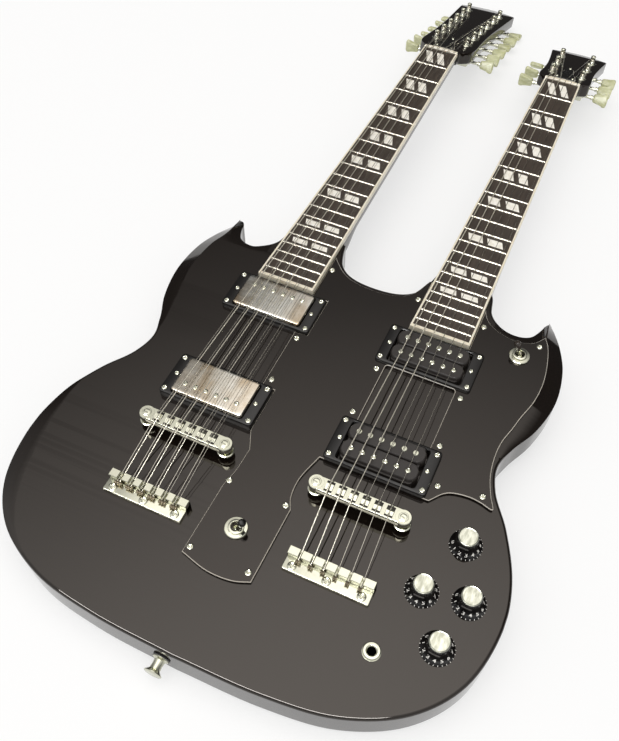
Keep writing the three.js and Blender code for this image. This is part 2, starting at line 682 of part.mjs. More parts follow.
// String places across the nut or the bridge: singles, or pairs that lie close together
function stringPlaces(spread, pairGap) {
  const places = [];
  for (let course = 0; course < 6; course++) {
    const x = (course / 5 - 0.5) * spread;
    if (pairGap > 0) places.push(x - pairGap / 2, x + pairGap / 2);
    else places.push(x);
  }
  return places;
}

function bridgeGeometry(neckX) {
  const barZ = bodyThickness + bridgeTop - bridgeBarHeight;
  const pieces = [plate(roundRect(bridgeLength, bridgeWidth, bridgeWidth / 2 - gap, [neckX, bridgeY], 3), bridgeBarHeight, barZ)];
  for (const x of stringPlaces(stringSpreadBridge, 0)) {
    pieces.push(box(saddleWidth, saddleLength, 2 * saddleRise, [neckX + x, bridgeY, bodyThickness + bridgeTop]));
  }
  for (const side of [-1, 1]) {
    const x = neckX + side * bridgePostSpacing / 2;
    const foot = bodyThickness - bridgePostSunk;
    pieces.push(post(bridgePostRadius, bridgePostSunk + bridgePostTop, [x, bridgeY, foot], 12));
    pieces.push(post(thumbwheelRadius, thumbwheelThickness, [x, bridgeY, bodyThickness + thumbwheelBottom], 14));
  }
  return joined(pieces);
}

// A tailpiece: a flange that is screwed down, and a raised lip with a slot for each string
function tailGeometry(middleX, pairGap) {
  const foot = bodyThickness + gap;
  const lipBack = tailLipY - tailLipLength;
  const flangeY = lipBack - tailFlangeLength / 2 + overrun / 2;
  const lip = box(tailWidth, tailLipLength, tailLipHeight, [middleX, lipBack + tailLipLength / 2, foot + tailLipHeight / 2]);
  const flange = box(tailWidth, tailFlangeLength + overrun, tailFlangeHeight, [middleX, flangeY, foot + tailFlangeHeight / 2]);
  const slots = stringPlaces(stringSpreadBridge, pairGap).map(x =>
    box(Math.min(tailSlotWidth, pairGap > 0 ? pairGap - 2 * gap : tailSlotWidth), tailLipLength + 2 * overrun, 2 * tailSlotDepth,
      [middleX + x, lipBack + tailLipLength / 2, foot + tailLipHeight]));
  return cutBy(joined([lip, flange]), slots);
}

// The nut with its strings: each runs from the tailpiece over the saddle and the nut to its post
function stringsGeometry(neckX, tailX, head, pairGapNut, pairGapBridge) {
  const toNeck = neckMatrix(neckX).invert();
  const atNut = stringPlaces(stringSpreadNut, pairGapNut);
  const atBridge = stringPlaces(stringSpreadBridge, pairGapBridge);
  const nutHeight = boardThickness + nutLift;
  const pieces = [box(boardNutWidth, nutLength, nutHeight, [0, gap + nutLength / 2, nutHeight / 2])];
  const left = postPlaces(head, -1);
  const right = postPlaces(head, 1).reverse();
  const posts = [...left, ...right];
  atNut.forEach((nutX, i) => {
    const radius = THREE.MathUtils.lerp(thickString, thinString, i / (atNut.length - 1));
    const [postX, postAlong] = posts[i];
    const inward = -Math.sign(postX) * (postRadius + radius + gap);
    const ends = [
      new THREE.Vector3(tailX + atBridge[i], tailLipY + gap + radius, bodyThickness + tailLipHeight - tailSlotDepth / 2).applyMatrix4(toNeck),
      new THREE.Vector3(neckX + atBridge[i], bridgeY, bodyThickness + stringAtSaddle + radius).applyMatrix4(toNeck),
      new THREE.Vector3(nutX, gap + nutLength / 2, stringRise),
      new THREE.Vector3(postX + inward, postAlong, stringAtPost).applyMatrix4(headMatrix),
    ];
    for (let k = 0; k < ends.length - 1; k++) pieces.push(rod(ends[k], ends[k + 1], radius, k));
  });
  return joined(pieces);
}

// A straight hexagonal rod between two points, a little longer than their distance at inner joints
function rod(from, to, radius, leg) {
  const way = new THREE.Vector3().subVectors(to, from);
  const lead = way.clone().normalize().multiplyScalar(radius / 2);
  const start = leg > 0 ? from.clone().sub(lead) : from;
  const end = leg < 2 ? to.clone().add(lead) : to;
  const whole = new THREE.Vector3().subVectors(end, start);
  const geometry = new THREE.CylinderGeometry(radius, radius, whole.length(), 6);
  const turn = new THREE.Quaternion().setFromUnitVectors(new THREE.Vector3(0, 1, 0), whole.clone().normalize());
  return geometry.applyQuaternion(turn).translate(...start.clone().add(end).multiplyScalar(0.5).toArray());
}

// Tuner housings on one strip along a headstock's back; fixed posts are part of it where asked
function housingGeometry(head, side, withPosts) {
  const places = postPlaces(head, side);
  const top = -headThickness - gap;
  const [firstX, firstY] = places[0];
  const [lastX, lastY] = places.at(-1);
  const ends = [[firstX, firstY - housingLength / 2], [lastX, lastY + housingLength / 2 + wormOffset]];
  const strip = [
    [ends[0][0] - stripWidth / 2, ends[0][1]], [ends[0][0] + stripWidth / 2, ends[0][1]],
    [ends[1][0] + stripWidth / 2, ends[1][1]], [ends[1][0] - stripWidth / 2, ends[1][1]],
  ];
  const pieces = [plate(strip, stripThickness, top - stripThickness)];
  const bores = [];
  for (const [x, y] of places) {
    const middle = y + wormOffset / 2;
    pieces.push(plate(roundRect(housingWidth, housingLength, overrun, [x, middle], 1), housingHeight, top - housingHeight));
    if (withPosts) pieces.push(postGeometry(x, y));
    else bores.push(post(postRadius + gap, wormDepth + overrun, [x, y, top - wormDepth], 8));
    const inner = x + side * (housingWidth / 2 - shaftInHousing - gap);
    const bore = new THREE.CylinderGeometry(shaftRadius + gap, shaftRadius + gap, housingWidth, 8);
    bores.push(placed(bore, [inner + side * housingWidth / 2, y + wormOffset, wormZ], [0, 0, Math.PI / 2]));
  }
  return cutBy(joined(pieces), bores);
}

// A tuning post: a shank through the headstock, waisted where the string winds
function postGeometry(x, y) {
  const foot = -headThickness - gap - wormDepth + gap;
  const profile = [
    [0, foot], [postRadius, foot], [postRadius, stringAtPost - 2 * overrun], [postRadius * postWaist, stringAtPost - overrun],
    [postRadius * postWaist, stringAtPost + overrun], [postRadius, stringAtPost + 2 * overrun],
    [postRadius, postHeight - postRadius * 0.3], [postRadius * postWaist, postHeight], [0, postHeight],
  ];
  return turned(profile, 8).translate(x, y, 0);
}

// A tuner button on its worm shaft: the shaft lies along x, and the button widens outwards
function buttonGeometry(side, edgeX, housingX) {
  const start = side * (edgeX + shaftBeyondEdge);
  const inner = housingX + side * (housingWidth / 2 - shaftInHousing);
  const shaftEnd = start + side * buttonLength / 3;
  const shaft = new THREE.CylinderGeometry(shaftRadius, shaftRadius, Math.abs(shaftEnd - inner), 8);
  const inset2 = buttonEdge;
  const outline = [
    [inset2, -buttonInnerWidth / 2 + inset2], [buttonLength - 3 * inset2, -buttonOuterWidth / 2 + inset2],
    [buttonLength - inset2, -buttonOuterWidth / 2 + 3 * inset2], [buttonLength - inset2, buttonOuterWidth / 2 - 3 * inset2],
    [buttonLength - 3 * inset2, buttonOuterWidth / 2 - inset2], [inset2, buttonInnerWidth / 2 - inset2],
  ];
  const shape = new THREE.Shape(outline.map(([x, y]) => new THREE.Vector2(x, y)));
  const paddle = new THREE.ExtrudeGeometry(shape, {
    depth: buttonThickness - 2 * inset2, bevelThickness: inset2, bevelSize: inset2, bevelSegments: 1, steps: 1,
  }).translate(0, 0, -buttonThickness / 2 + inset2);
  const turn = side > 0 ? 0 : Math.PI;
  const grip = placed(paddle, [start, 0, 0], [0, 0, turn]);
  return joined([grip, placed(shaft, [(inner + shaftEnd) / 2, 0, 0], [0, 0, Math.PI / 2])]);
}

// The four potentiometers stand on one screening plate under the top of the control cavity
function potsGeometry() {
  const top = bodyThickness - controlTopWall - gap;
  const outline = inset(controlShares.map(ofBody), backRound);
  const pieces = [plate(outline, potPlateThickness, top - potPlateThickness)];
  for (const [x, y] of knobPlaces) {
    const nutFoot = bodyThickness + gap;
    pieces.push(post(potBodyRadius, potBodyHeight, [x, y, top - potPlateThickness - potBodyHeight + gap]));
    pieces.push(post(potBushRadius, nutFoot - top + potPlateThickness + gap, [x, y, top - potPlateThickness], 12));
    pieces.push(post(potNutRadius, potNutHeight, [x, y, nutFoot], 6));
    pieces.push(post(potShaftRadius, potShaftHeight, [x, y, bodyThickness], 12));
  }
  return joined(pieces);
}

// A control knob: flared skirt, flat cap, hollow below to clear the nut and the shaft
function knobGeometry() {
  const foot = 2 * gap;
  const profile = [
    [0, knobBoreDepth], [potShaftRadius + gap, knobBoreDepth], [potShaftRadius + gap, potNutHeight + 3 * gap],
    [potNutRadius + 2 * gap, potNutHeight + 3 * gap], [potNutRadius + 2 * gap, foot], [knobRadius - foot, foot],
    [knobRadius, 2 * foot], [knobRadius * 0.86, knobHeight * 0.32], [knobCapRadius * 1.1, knobHeight * 0.52],
    [knobCapRadius, knobHeight * 0.6], [knobCapRadius, knobHeight - gap], [knobCapRadius - gap, knobHeight], [0, knobHeight],
  ];
  return turned(profile, 18);
}

// A toggle switch's fixed part: nut, threaded bush and frame, bored for the lever and its ball
function toggleGeometry() {
  const seat = guardThickness + 2 * gap;
  const floor = -toggleBallRadius - gap;
  const profile = [
    [0, -toggleBodyDepth], [toggleBodyRadius, -toggleBodyDepth], [toggleBodyRadius, -overrun], [toggleBushRadius, -overrun],
    [toggleBushRadius, seat], [toggleNutRadius, seat], [toggleNutRadius, seat + toggleNutHeight - gap],
    [toggleNutRadius - gap, seat + toggleNutHeight], [toggleThroat, seat + toggleNutHeight],
    [toggleThroat, floor], [0, floor],
  ];
  return turned(profile, 14);
}

// The switch's lever: a ball at its pivot, a thin rod and a tip
function leverGeometry() {
  const tipFrom = toggleLeverLength - toggleTipLength;
  const ball = [];
  for (let i = 0; i <= 5; i++) {
    const angle = -Math.PI / 2 + i / 5 * (Math.PI / 2 + Math.acos(toggleLeverRadius / toggleBallRadius));
    ball.push([toggleBallRadius * Math.cos(angle), toggleBallRadius * Math.sin(angle)]);
  }
  ball[0][0] = 0;
  const profile = [
    ...ball, [toggleLeverRadius, tipFrom], [toggleTipRadius * 0.8, tipFrom], [toggleTipRadius, tipFrom + toggleTipLength * 0.4],
    [toggleTipRadius, toggleLeverLength - toggleTipRadius * 0.6], [toggleTipRadius * 0.6, toggleLeverLength],
    [0, toggleLeverLength],
  ];
  return turned(profile, 10);
}

function jackGeometry() {
  const profile = [
    [jackBoreRadius, -jackDepth + gap], [jackBushRadius, -jackDepth + gap], [jackBushRadius, gap], [jackNutRadius, gap],
    [jackNutRadius, jackNutHeight], [jackNutRadius - gap, jackNutHeight + gap], [jackBoreRadius, jackNutHeight + gap],
    [jackBoreRadius, -jackDepth + gap],
  ];
  return turned(profile, 16);
}

function strapGeometry() {
  const profile = [
    [0, -strapSunk + gap], [strapStemRadius / 2, -strapSunk + gap], [strapStemRadius / 2, gap], [strapFlangeRadius * 0.9, gap],
    [strapFlangeRadius * 0.9, 3 * gap], [strapStemRadius, 6 * gap], [strapStemRadius, strapLength - 9 * gap],
    [strapFlangeRadius, strapLength - 4 * gap], [strapFlangeRadius, strapLength - gap], [strapStemRadius, strapLength], [0, strapLength],
  ];
  return turned(profile, 16);
}

// Finishes
const finish = (color, roughness, metalness) => new THREE.MeshStandardMaterial({ color, roughness, metalness });
const lacquer = finish(0x14110f, 0.12, 0);
const rosewood = finish(0x3a2a20, 0.55, 0);
const nickel = finish(0xcfc8b8, 0.25, 1);
const blackPlastic = finish(0x171514, 0.35, 0);
const bone = finish(0xe9dfc6, 0.45, 0);
const buttonPlastic = finish(0xc8cb98, 0.4, 0);
const steel = finish(0xb9b6ae, 0.35, 1);

function node(name, geometry, material, parent) {
  const mesh = new THREE.Mesh(geometry, material);
  mesh.name = name;
  parent.add(mesh);
  return mesh;
}

const body = new THREE.Group();
node('body', bodyGeometry(), lacquer, body);
const coverOutline = inset(inset(controlShares.map(ofBody), -coverLedge), gap);
node('control_cover', plate(coverOutline, coverRebate - gap, 0), blackPlastic, body);
node('pot_plate', potsGeometry(), steel, body);
node('pickguard', guardGeometry(), blackPlastic, body);

// One neck with all that it carries, in a group that lies along the neck
function addNeck(tag, neckX, tailX, head, shares, pairGaps) {
  const lie = new THREE.Group();
  lie.position.set(neckX, nutFromButt, glueHeight(0));
  lie.rotation.x = -neckAngle;
  body.add(lie);
  node(`neck_${tag}`, neckGeometry(head, shares), lacquer, lie);
  node(`fretboard_${tag}`, boardGeometry(), rosewood, lie);
  node(`nut_and_strings_${tag}`, stringsGeometry(neckX, tailX, head, ...pairGaps), nickel, lie);
  const blade = new THREE.Group();
  blade.position.set(0, headFrom, headHeight);
  blade.rotation.x = -headPitch;
  lie.add(blade);
  for (const [sideName, side] of [['bass', -1], ['treble', 1]]) {
    node(`tuner_housings_${tag}_${sideName}`, housingGeometry(head, side, tag === '12'), nickel, blade);
    postPlaces(head, side).forEach(([x, y], i) => {
      const edge = head.halfWidth;
      const button = node(`tuner_button_${tag}_${sideName}_${i + 1}`, buttonGeometry(side, edge, x), buttonPlastic, blade);
      button.position.set(0, y + wormOffset, wormZ);
      button.rotation.x = side * THREE.MathUtils.degToRad(buttonTurns[i]);
      if (tag === '6') node(`tuning_post_${tag}_${sideName}_${i + 1}`, postGeometry(x, y), nickel, blade);
    });
  }
}
addNeck('12', neck12X, neck12X + tailShift12, head12, head12Shares, [pairSpreadNut, pairSpreadBridge]);
addNeck('6', neck6X, neck6X + tailShift6, head6, head6Shares, [0, 0]);

const onGuard = guardThickness + 2 * gap;
node('pickup_ring_12_neck', ringGeometry(place12(neckPickupY), gap, ringTopNeck), blackPlastic, body);
node('pickup_ring_12_bridge', ringGeometry(place12(bridgePickupY), gap, ringTopBridge), blackPlastic, body);
node('pickup_ring_6_neck', ringGeometry(place6(neckPickupY), onGuard, ringTopNeck), blackPlastic, body);
node('pickup_ring_6_bridge', ringGeometry(place6(bridgePickupY), onGuard, ringTopBridge), blackPlastic, body);
node('pickup_12_neck', coveredPickup(place12(neckPickupY), coverTopNeck), nickel, body);
node('pickup_12_bridge', coveredPickup(place12(bridgePickupY), coverTopBridge), nickel, body);
node('pickup_6_neck', openPickup(place6(neckPickupY), poleTopNeck), blackPlastic, body);
node('pickup_6_bridge', openPickup(place6(bridgePickupY), poleTopBridge), blackPlastic, body);
node('bridge_12', bridgeGeometry(neck12X), nickel, body);
node('bridge_6', bridgeGeometry(neck6X), nickel, body);
node('tailpiece_12', tailGeometry(neck12X + tailShift12, pairSpreadBridge), nickel, body);
node('tailpiece_6', tailGeometry(neck6X + tailShift6, 0), nickel, body);

knobPlaces.forEach(([x, y], i) => {
  node(`control_knob_${i + 1}`, knobGeometry(), blackPlastic, body).position.set(x, y, bodyThickness);
});
for (const [name, [x, y], turn] of [
  ['lower', lowerTogglePlace, lowerToggleTurn], ['upper', upperTogglePlace, upperToggleTurn],
]) {
  const spot = new THREE.Group();
  spot.position.set(x, y, bodyThickness);
  spot.rotation.z = turn;
  body.add(spot);
  node(`${name}_toggle_switch`, toggleGeometry(), nickel, spot);
  node(`${name}_toggle_lever`, leverGeometry(), steel, spot).rotation.y = toggleLean;
}
node('output_jack', jackGeometry(), nickel, body).position.set(...jackPlace, bodyThickness);
const strap = node('strap_button', strapGeometry(), nickel, body);
strap.position.set(strapPlace, 0, bodyThickness / 2);
strap.rotation.x = Math.PI / 2;

// The lean: the butt's back edge and the far end of the longer headstock's housings reach one floor
const farHousing = new THREE.Vector3(
  0,
  head12.first + head12.pitch * (head12.posts - 1) + (housingLength + wormOffset) / 2,
  -headThickness - gap - housingHeight,
).applyMatrix4(headMatrix).applyMatrix4(neckMatrix(neck12X));
const lean = Math.atan2(-farHousing.z, farHousing.y - backRound);
const guitar = new THREE.Group();
guitar.add(body);
body.rotation.x = lean;
guitar.updateMatrixWorld(true);
const reach = new THREE.Box3().setFromObject(guitar, true);
const middle = reach.getCenter(new THREE.Vector3());
body.position.set(-middle.x, -middle.y, -reach.min.z);

export default guitar;
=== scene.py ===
import math

import bmesh
import bpy
import numpy as np
from mathutils import Matrix
from mathutils.geometry import tessellate_polygon


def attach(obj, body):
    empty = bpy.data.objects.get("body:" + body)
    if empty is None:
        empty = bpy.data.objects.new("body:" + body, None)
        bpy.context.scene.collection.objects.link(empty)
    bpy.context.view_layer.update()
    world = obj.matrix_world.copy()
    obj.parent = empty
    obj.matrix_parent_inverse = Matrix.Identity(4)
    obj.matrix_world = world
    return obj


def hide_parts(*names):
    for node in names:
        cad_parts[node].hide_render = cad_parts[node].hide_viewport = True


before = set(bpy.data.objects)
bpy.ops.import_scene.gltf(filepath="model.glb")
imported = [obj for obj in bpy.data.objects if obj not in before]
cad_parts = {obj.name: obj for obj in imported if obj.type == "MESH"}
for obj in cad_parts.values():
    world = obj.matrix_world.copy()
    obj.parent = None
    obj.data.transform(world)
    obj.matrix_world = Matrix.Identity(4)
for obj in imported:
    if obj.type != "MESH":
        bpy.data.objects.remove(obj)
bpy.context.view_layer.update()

# Body
# One slab of mahogany, 34 mm thick, sprayed black and polished. The outline is bandsawn, its edges
# are rounded over, and both horns and the player's arm side are bevelled by hand.

# Sizes are in millimetres in the guitar's own frame: x across, y from the butt to the headstocks,
# z up from the flat back. The whole guitar is then leaned onto the floor.
LEAN = math.radians(3.294335)
BODY_PLACE = Matrix.Translation((0, -509.91746, -0.12642)) @ Matrix.Rotation(LEAN, 4, "X")
BODY_LENGTH, BODY_HALF_WIDTH, BODY_THICKNESS = 419.5, 209.3, 34
PAIR_OFFSET, NECK_SPACING = -2, 155.5
NECK_X = {"12": PAIR_OFFSET - NECK_SPACING / 2, "6": PAIR_OFFSET + NECK_SPACING / 2}
SHOULDER_HALF, SHOULDER_Y, MIDDLE_BOTTOM = 27.5, 1.0167, 0.9195


def linear(code):
    """An sRGB hex colour as linear red, green, blue and alpha: a line below 0.04045, a power curve above."""
    parts = [int(code[i:i + 2], 16) / 255 for i in (0, 2, 4)]
    return [c / 12.92 if c <= 0.04045 else ((c + 0.055) / 1.055) ** 2.4 for c in parts] + [1]


def add(tree, kind, inputs=None, **settings):
    """Adds one node, gives it its settings, and sets each named input to a value or links a socket to it."""
    made = tree.nodes.new(kind)
    for key, value in settings.items():
        setattr(made, key, value)
    for key, value in (inputs or {}).items():
        if isinstance(value, bpy.types.NodeSocket):
            tree.links.new(value, made.inputs[key])
        else:
            made.inputs[key].default_value = value
    return made


def finish(name, slot, colour, roughness, metallic=0.0, **sockets):
    """A material with one Principled shader. The slot argument is not used."""
    material = bpy.data.materials.new(name)
    material.use_nodes = True
    shader = material.node_tree.nodes["Principled BSDF"]
    values = {"Base Color": linear(colour), "Roughness": roughness, "Metallic": metallic}
    values.update({key.replace("_", " "): value for key, value in sockets.items()})
    for key, value in values.items():
        shader.inputs[key].default_value = value
    return material


def grain(material, scale, stretch, detail):
    """Noise of one size, per metre, laid on the piece's own place stretched along each axis."""
    tree = material.node_tree
    where = add(tree, "ShaderNodeTexCoord")
    placed = add(tree, "ShaderNodeMapping", {"Vector": where.outputs["Object"], "Scale": stretch})
    noise = add(tree, "ShaderNodeTexNoise", {"Vector": placed.outputs[0], "Scale": scale, "Detail": detail})
    return tree, noise.outputs["Fac"], tree.nodes["Principled BSDF"].inputs


def mottle(material, scale, low, high, channel, stretch=(1, 1, 1), detail=4):
    """Noise mapped between two values or two hex colours, from 0.36 to 0.64, into a socket of the shader."""
    tree, height, sockets = grain(material, scale, stretch, detail)
    ramp = add(tree, "ShaderNodeValToRGB", {"Fac": height})
    for stop, value, position in zip(ramp.color_ramp.elements, (low, high), (0.36, 0.64)):
        stop.position = position
        stop.color = linear(value) if isinstance(value, str) else (value, value, value, 1)
    tree.links.new(ramp.outputs["Color"], sockets[channel])


def roughen(material, scale, depth, stretch=(1, 1, 1), detail=3):
    """A bump from noise; depth is the bump's height in metres."""
    tree, height, sockets = grain(material, scale, stretch, detail)
    bump = add(tree, "ShaderNodeBump", {"Height": height, "Strength": 1, "Distance": depth})
    tree.links.new(bump.outputs["Normal"], sockets["Normal"])


def smooth_line(points, steps):
    """A centripetal Catmull-Rom curve through the points, with a number of steps between two of them."""
    p = np.array(points, float)
    p = np.vstack([2 * p[0] - p[1], p, 2 * p[-1] - p[-2]])
    d = np.sqrt(np.linalg.norm(np.diff(p, axis=0), axis=1))[:, None]
    p0, p1, p2, p3 = p[:-3], p[1:-2], p[2:-1], p[3:]
    d0, d1, d2 = d[:-2], d[1:-1], d[2:]
    t1 = ((p1 - p0) / d0 - (p2 - p0) / (d0 + d1) + (p2 - p1) / d1) * d1
    t2 = ((p2 - p1) / d1 - (p3 - p1) / (d1 + d2) + (p3 - p2) / d2) * d1
    t = (np.arange(steps) / steps)[None, :, None]
    a, b, m, n = p1[:, None], p2[:, None], t1[:, None], t2[:, None]
    curve = a + m * t + (-3 * a + 3 * b - 2 * m - n) * t ** 2 + (2 * a - 2 * b + m + n) * t ** 3
    return np.vstack([curve.reshape(-1, p.shape[1]), p[-2]])


def inset(outline, distance):
    """Moves each point of a closed outline, drawn anticlockwise, inwards by a distance along its mitre."""
    before = outline - np.roll(outline, 1, 0)
    after = np.roll(outline, -1, 0) - outline
    before /= np.linalg.norm(before, axis=1)[:, None]
    after /= np.linalg.norm(after, axis=1)[:, None]
    normal = np.stack([-(before + after)[:, 1], (before + after)[:, 0]], 1)
    normal /= np.linalg.norm(normal, axis=1)[:, None]
    mitre = np.maximum((np.stack([-before[:, 1], before[:, 0]], 1) * normal).sum(1), 0.7)
    return outline + normal * (distance / mitre)[:, None]


def raised(outline, height):
    """A flat outline's points at one height, or each at its own."""
    return np.column_stack([outline, np.broadcast_to(np.asarray(height, float), len(outline))])


def stacked(levels):
    """Rings from levels, each an outline, a distance inwards and a height."""
    return [raised(inset(line, distance) if distance else line, height) for line, distance, height in levels]


def skin(rings, capped=True, looped=False):
    """Joins rings of equally many points by quads, and closes the two ends by one face each."""
    rings = np.asarray(rings, float)
    rows, count = rings.shape[:2]
    index = np.arange(rows * count).reshape(rows, count)
    lower = index if looped else index[:-1]
    upper = np.roll(index, -1, 0) if looped else index[1:]
    quads = np.stack([lower, np.roll(lower, -1, 1), np.roll(upper, -1, 1), upper], -1).reshape(-1, 4)
    faces = quads.tolist()
    if capped and not looped:
        faces += [index[0][::-1].tolist(), index[-1].tolist()]
    return rings.reshape(-1, 3), faces


def slab(outline, levels):
    """A plate: the outline at each level, given as a distance inwards and a height."""
    outline = np.asarray(outline, float)
    return skin(stacked([(outline, *level) for level in levels]))


def rounded(low, high, under, over, steps=3):
    """The levels of a plate from low to high whose edges are rounded by quarter circles of two radii."""
    arc = [(1 - math.sin(a), 1 - math.cos(a)) for a in np.linspace(0, np.pi / 2, steps + 1)]
    bottom = [(under * s, low + under * c) for s, c in arc] if under else [(0, low)]
    return bottom + ([(over * c, high - over * s) for s, c in arc] if over else [(0, high)])


def together(*shapes):
    """Several shapes, each a pair of points and faces, as one."""
    points, faces, start = [], [], 0
    for p, f in shapes:
        points.append(np.asarray(p, float))
        faces += [[i + start for i in face] for face in f]
        start += len(p)
    return np.vstack(points), faces


def moved(shape, matrix):
    """A shape turned and shifted by a 4 by 4 matrix."""
    m = np.array(matrix)
    points, faces = shape
    return np.asarray(points) @ m[:3, :3].T + m[:3, 3], faces


def at(x=0.0, y=0.0, z=0.0):
    """The matrix of a shift."""
    return Matrix.Translation((x, y, z))


def turn(degrees, axis):
    """The matrix of a turn about an axis through the origin."""
    return Matrix.Rotation(math.radians(degrees), 4, axis)


def put(shape, x, y, z, degrees, axis):
    """A shape turned about one axis through the origin, and then shifted."""
    return moved(shape, at(x, y, z) @ turn(degrees, axis))


def linked(name, data):
    """A new object with this data, in the scene."""
    thing = bpy.data.objects.new(name, data)
    bpy.context.scene.collection.objects.link(thing)
    return thing


def formed(name, shape, materials, place=BODY_PLACE, sharp=32):
    """Makes the shape an object in metres at the origin, with outward faces, smooth up to a sharp angle.
    Faces of more than eight corners may be hollow in outline, so they are filled by triangles first."""
    points, faces = moved(shape, place)
    mesh = bpy.data.meshes.new(name)
    mesh.from_pydata((points * 0.001).tolist(), [], faces)
    work = bmesh.new()
    work.from_mesh(mesh)
    bmesh.ops.remove_doubles(work, verts=work.verts, dist=2e-6)
    for face in [face for face in work.faces if len(face.verts) > 8]:
        corners = list(face.verts)
        for three in tessellate_polygon([[corner.co for corner in corners]]):
            work.faces.new([corners[i] for i in three])
        work.faces.remove(face)
    bmesh.ops.recalc_face_normals(work, faces=work.faces)
    work.to_mesh(mesh)
    work.free()
    mesh.shade_smooth()
    mesh.set_sharp_from_angle(angle=math.radians(sharp))
    for material in materials:
        mesh.materials.append(material)
    return linked(name, mesh)


def piece(name, shape, *materials, place=BODY_PLACE, rides=None, slot=None, instead=(), sharp=32):
    """A visible piece from one shape or a list: it rides on the body of a moving solid or on the guitar's,
    and may replace solids. The slot argument is not used."""
    shape = together(*shape) if isinstance(shape, list) else shape
    thing = formed(name, shape, materials, place, sharp)
    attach(thing, f"{rides}_part" if rides else "guitar")
    if instead:
        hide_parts(*instead)
    return thing


# The lacquer is an amber clear coat over black: a warm mirror with few, very fine polishing marks.
lacquer = finish("polished_black_lacquer", "lacquered_wood", "140f0c", 0.05, IOR=1.52,
                 Specular_Tint=linear("fff8f1"))
mottle(lacquer, 9, 0.035, 0.07, "Roughness", detail=5)

outer = [
    (0, 0), (0.334, 0.0055), (0.597, 0.027), (0.812, 0.082), (0.946, 0.1645), (1, 0.281),
    (0.979, 0.3695), (0.898, 0.465), (0.815, 0.5315), (0.788, 0.586), (0.817, 0.639),
    (0.879, 0.708), (0.917, 0.7985), (0.901, 0.884), (0.857, 0.946), (0.822, 0.978),
    (0.802, 0.992), (0.781, 1), (0.765, 0.99), (0.757, 0.9745), (0.744, 0.9557), (0.726, 0.9387),
    (0.692, 0.9268), (0.646, 0.9228),
]
shoulder = [
    (1.798, 0.9285), (1.435, 0.9454), (1.253, 0.9626), (1.18, 0.9795), (1.096, 1.0033), (1, SHOULDER_Y),
]
middle = [(1.08, SHOULDER_Y), (1.2, 0.984), (1.37, 0.9564), (1.68, 0.936), (2.1, 0.9245)]


def of_body(shares):
    """Shares of the body's half width and length as places."""
    return np.asarray(shares, float)[:, :2] * [BODY_HALF_WIDTH, BODY_LENGTH]


def beside_neck(neck, side, shares):
    """Shares of the shoulder's half width, counted from a neck's centre line, and of the body's length."""
    return np.asarray(shares, float) * [side * SHOULDER_HALF, BODY_LENGTH] + [NECK_X[neck], 0]


right_half = np.vstack([of_body(outer), beside_neck("6", 1, shoulder)])
left_half = np.vstack([of_body(outer) * [-1, 1], beside_neck("12", -1, shoulder)])
lowest = [[PAIR_OFFSET, MIDDLE_BOTTOM * BODY_LENGTH]]
between = np.vstack([beside_neck("6", -1, middle), lowest, beside_neck("12", 1, middle)[::-1]])
right_line, middle_line, left_line = [smooth_line(part, 8) for part in (right_half, between, left_half)]
outline = np.vstack([right_line, middle_line, left_line[::-1][:-1]])
outline[:, 0] = np.clip(outline[:, 0], -BODY_HALF_WIDTH, BODY_HALF_WIDTH)

# The round-over is 3 mm, and shrinks to 1.3 mm where the horns' tips are too narrow for it. The back's
# is four fifths of the front's.
HORN_TIP, TIP_NEAR, TIP_FADE = (164.5, 419.5), 6, 30
tips = np.min([np.linalg.norm(outline - [s * HORN_TIP[0], HORN_TIP[1]], axis=1) for s in (-1, 1)], axis=0)
round_over = 1.3 + 1.7 * np.clip((tips - TIP_NEAR) / TIP_FADE, 0, 1)
round_under = round_over * 0.8
rings = []
for a in np.linspace(0, math.pi / 2, 5):
    rings.append(raised(inset(outline, round_under * (1 - math.sin(a))), round_under * (1 - math.cos(a))))
for a in np.linspace(0, math.pi / 2, 7):
    height = BODY_THICKNESS - round_over * (1 - math.sin(a))
    rings.append(raised(inset(outline, round_over * (1 - math.cos(a))), height))
body = piece("body_slab", skin(rings), lacquer, instead=["body"])

# Each bevel: its crease on the top and its edge as shares of the body, and its depth's share along them.
HORN_DROP, ARM_WIDTH, ARM_DROP = 9.5, 17, 6
horn_bevels = [
    ([(0.78, 0.586), (0.782, 0.639), (0.806, 0.708), (0.84, 0.7985), (0.826, 0.884), (0.795, 0.93),
      (0.778, 0.985)],
     [(0.788, 0.586), (0.817, 0.639), (0.879, 0.708), (0.917, 0.7985), (0.901, 0.884), (0.86, 0.935),
      (0.781, 1.004)],
     [0.04, 0.35, 0.75, 1, 1, 1, 1]),
    ([(0.56, 0.916), (0.64, 0.906), (0.72, 0.911), (0.772, 0.93), (0.778, 0.985)],
     [(0.56, 0.934), (0.645, 0.9255), (0.717, 0.945), (0.752, 0.985), (0.787, 1.004)],
     [0.05, 0.25, 0.6, 0.9, 1]),
]
arm_line = [
    (0.93, 0.425, 0.05), (0.979, 0.3695, 0.6), (1, 0.281, 1), (0.946, 0.1645, 1), (0.812, 0.082, 0.5),
    (0.66, 0.04, 0.05),
]


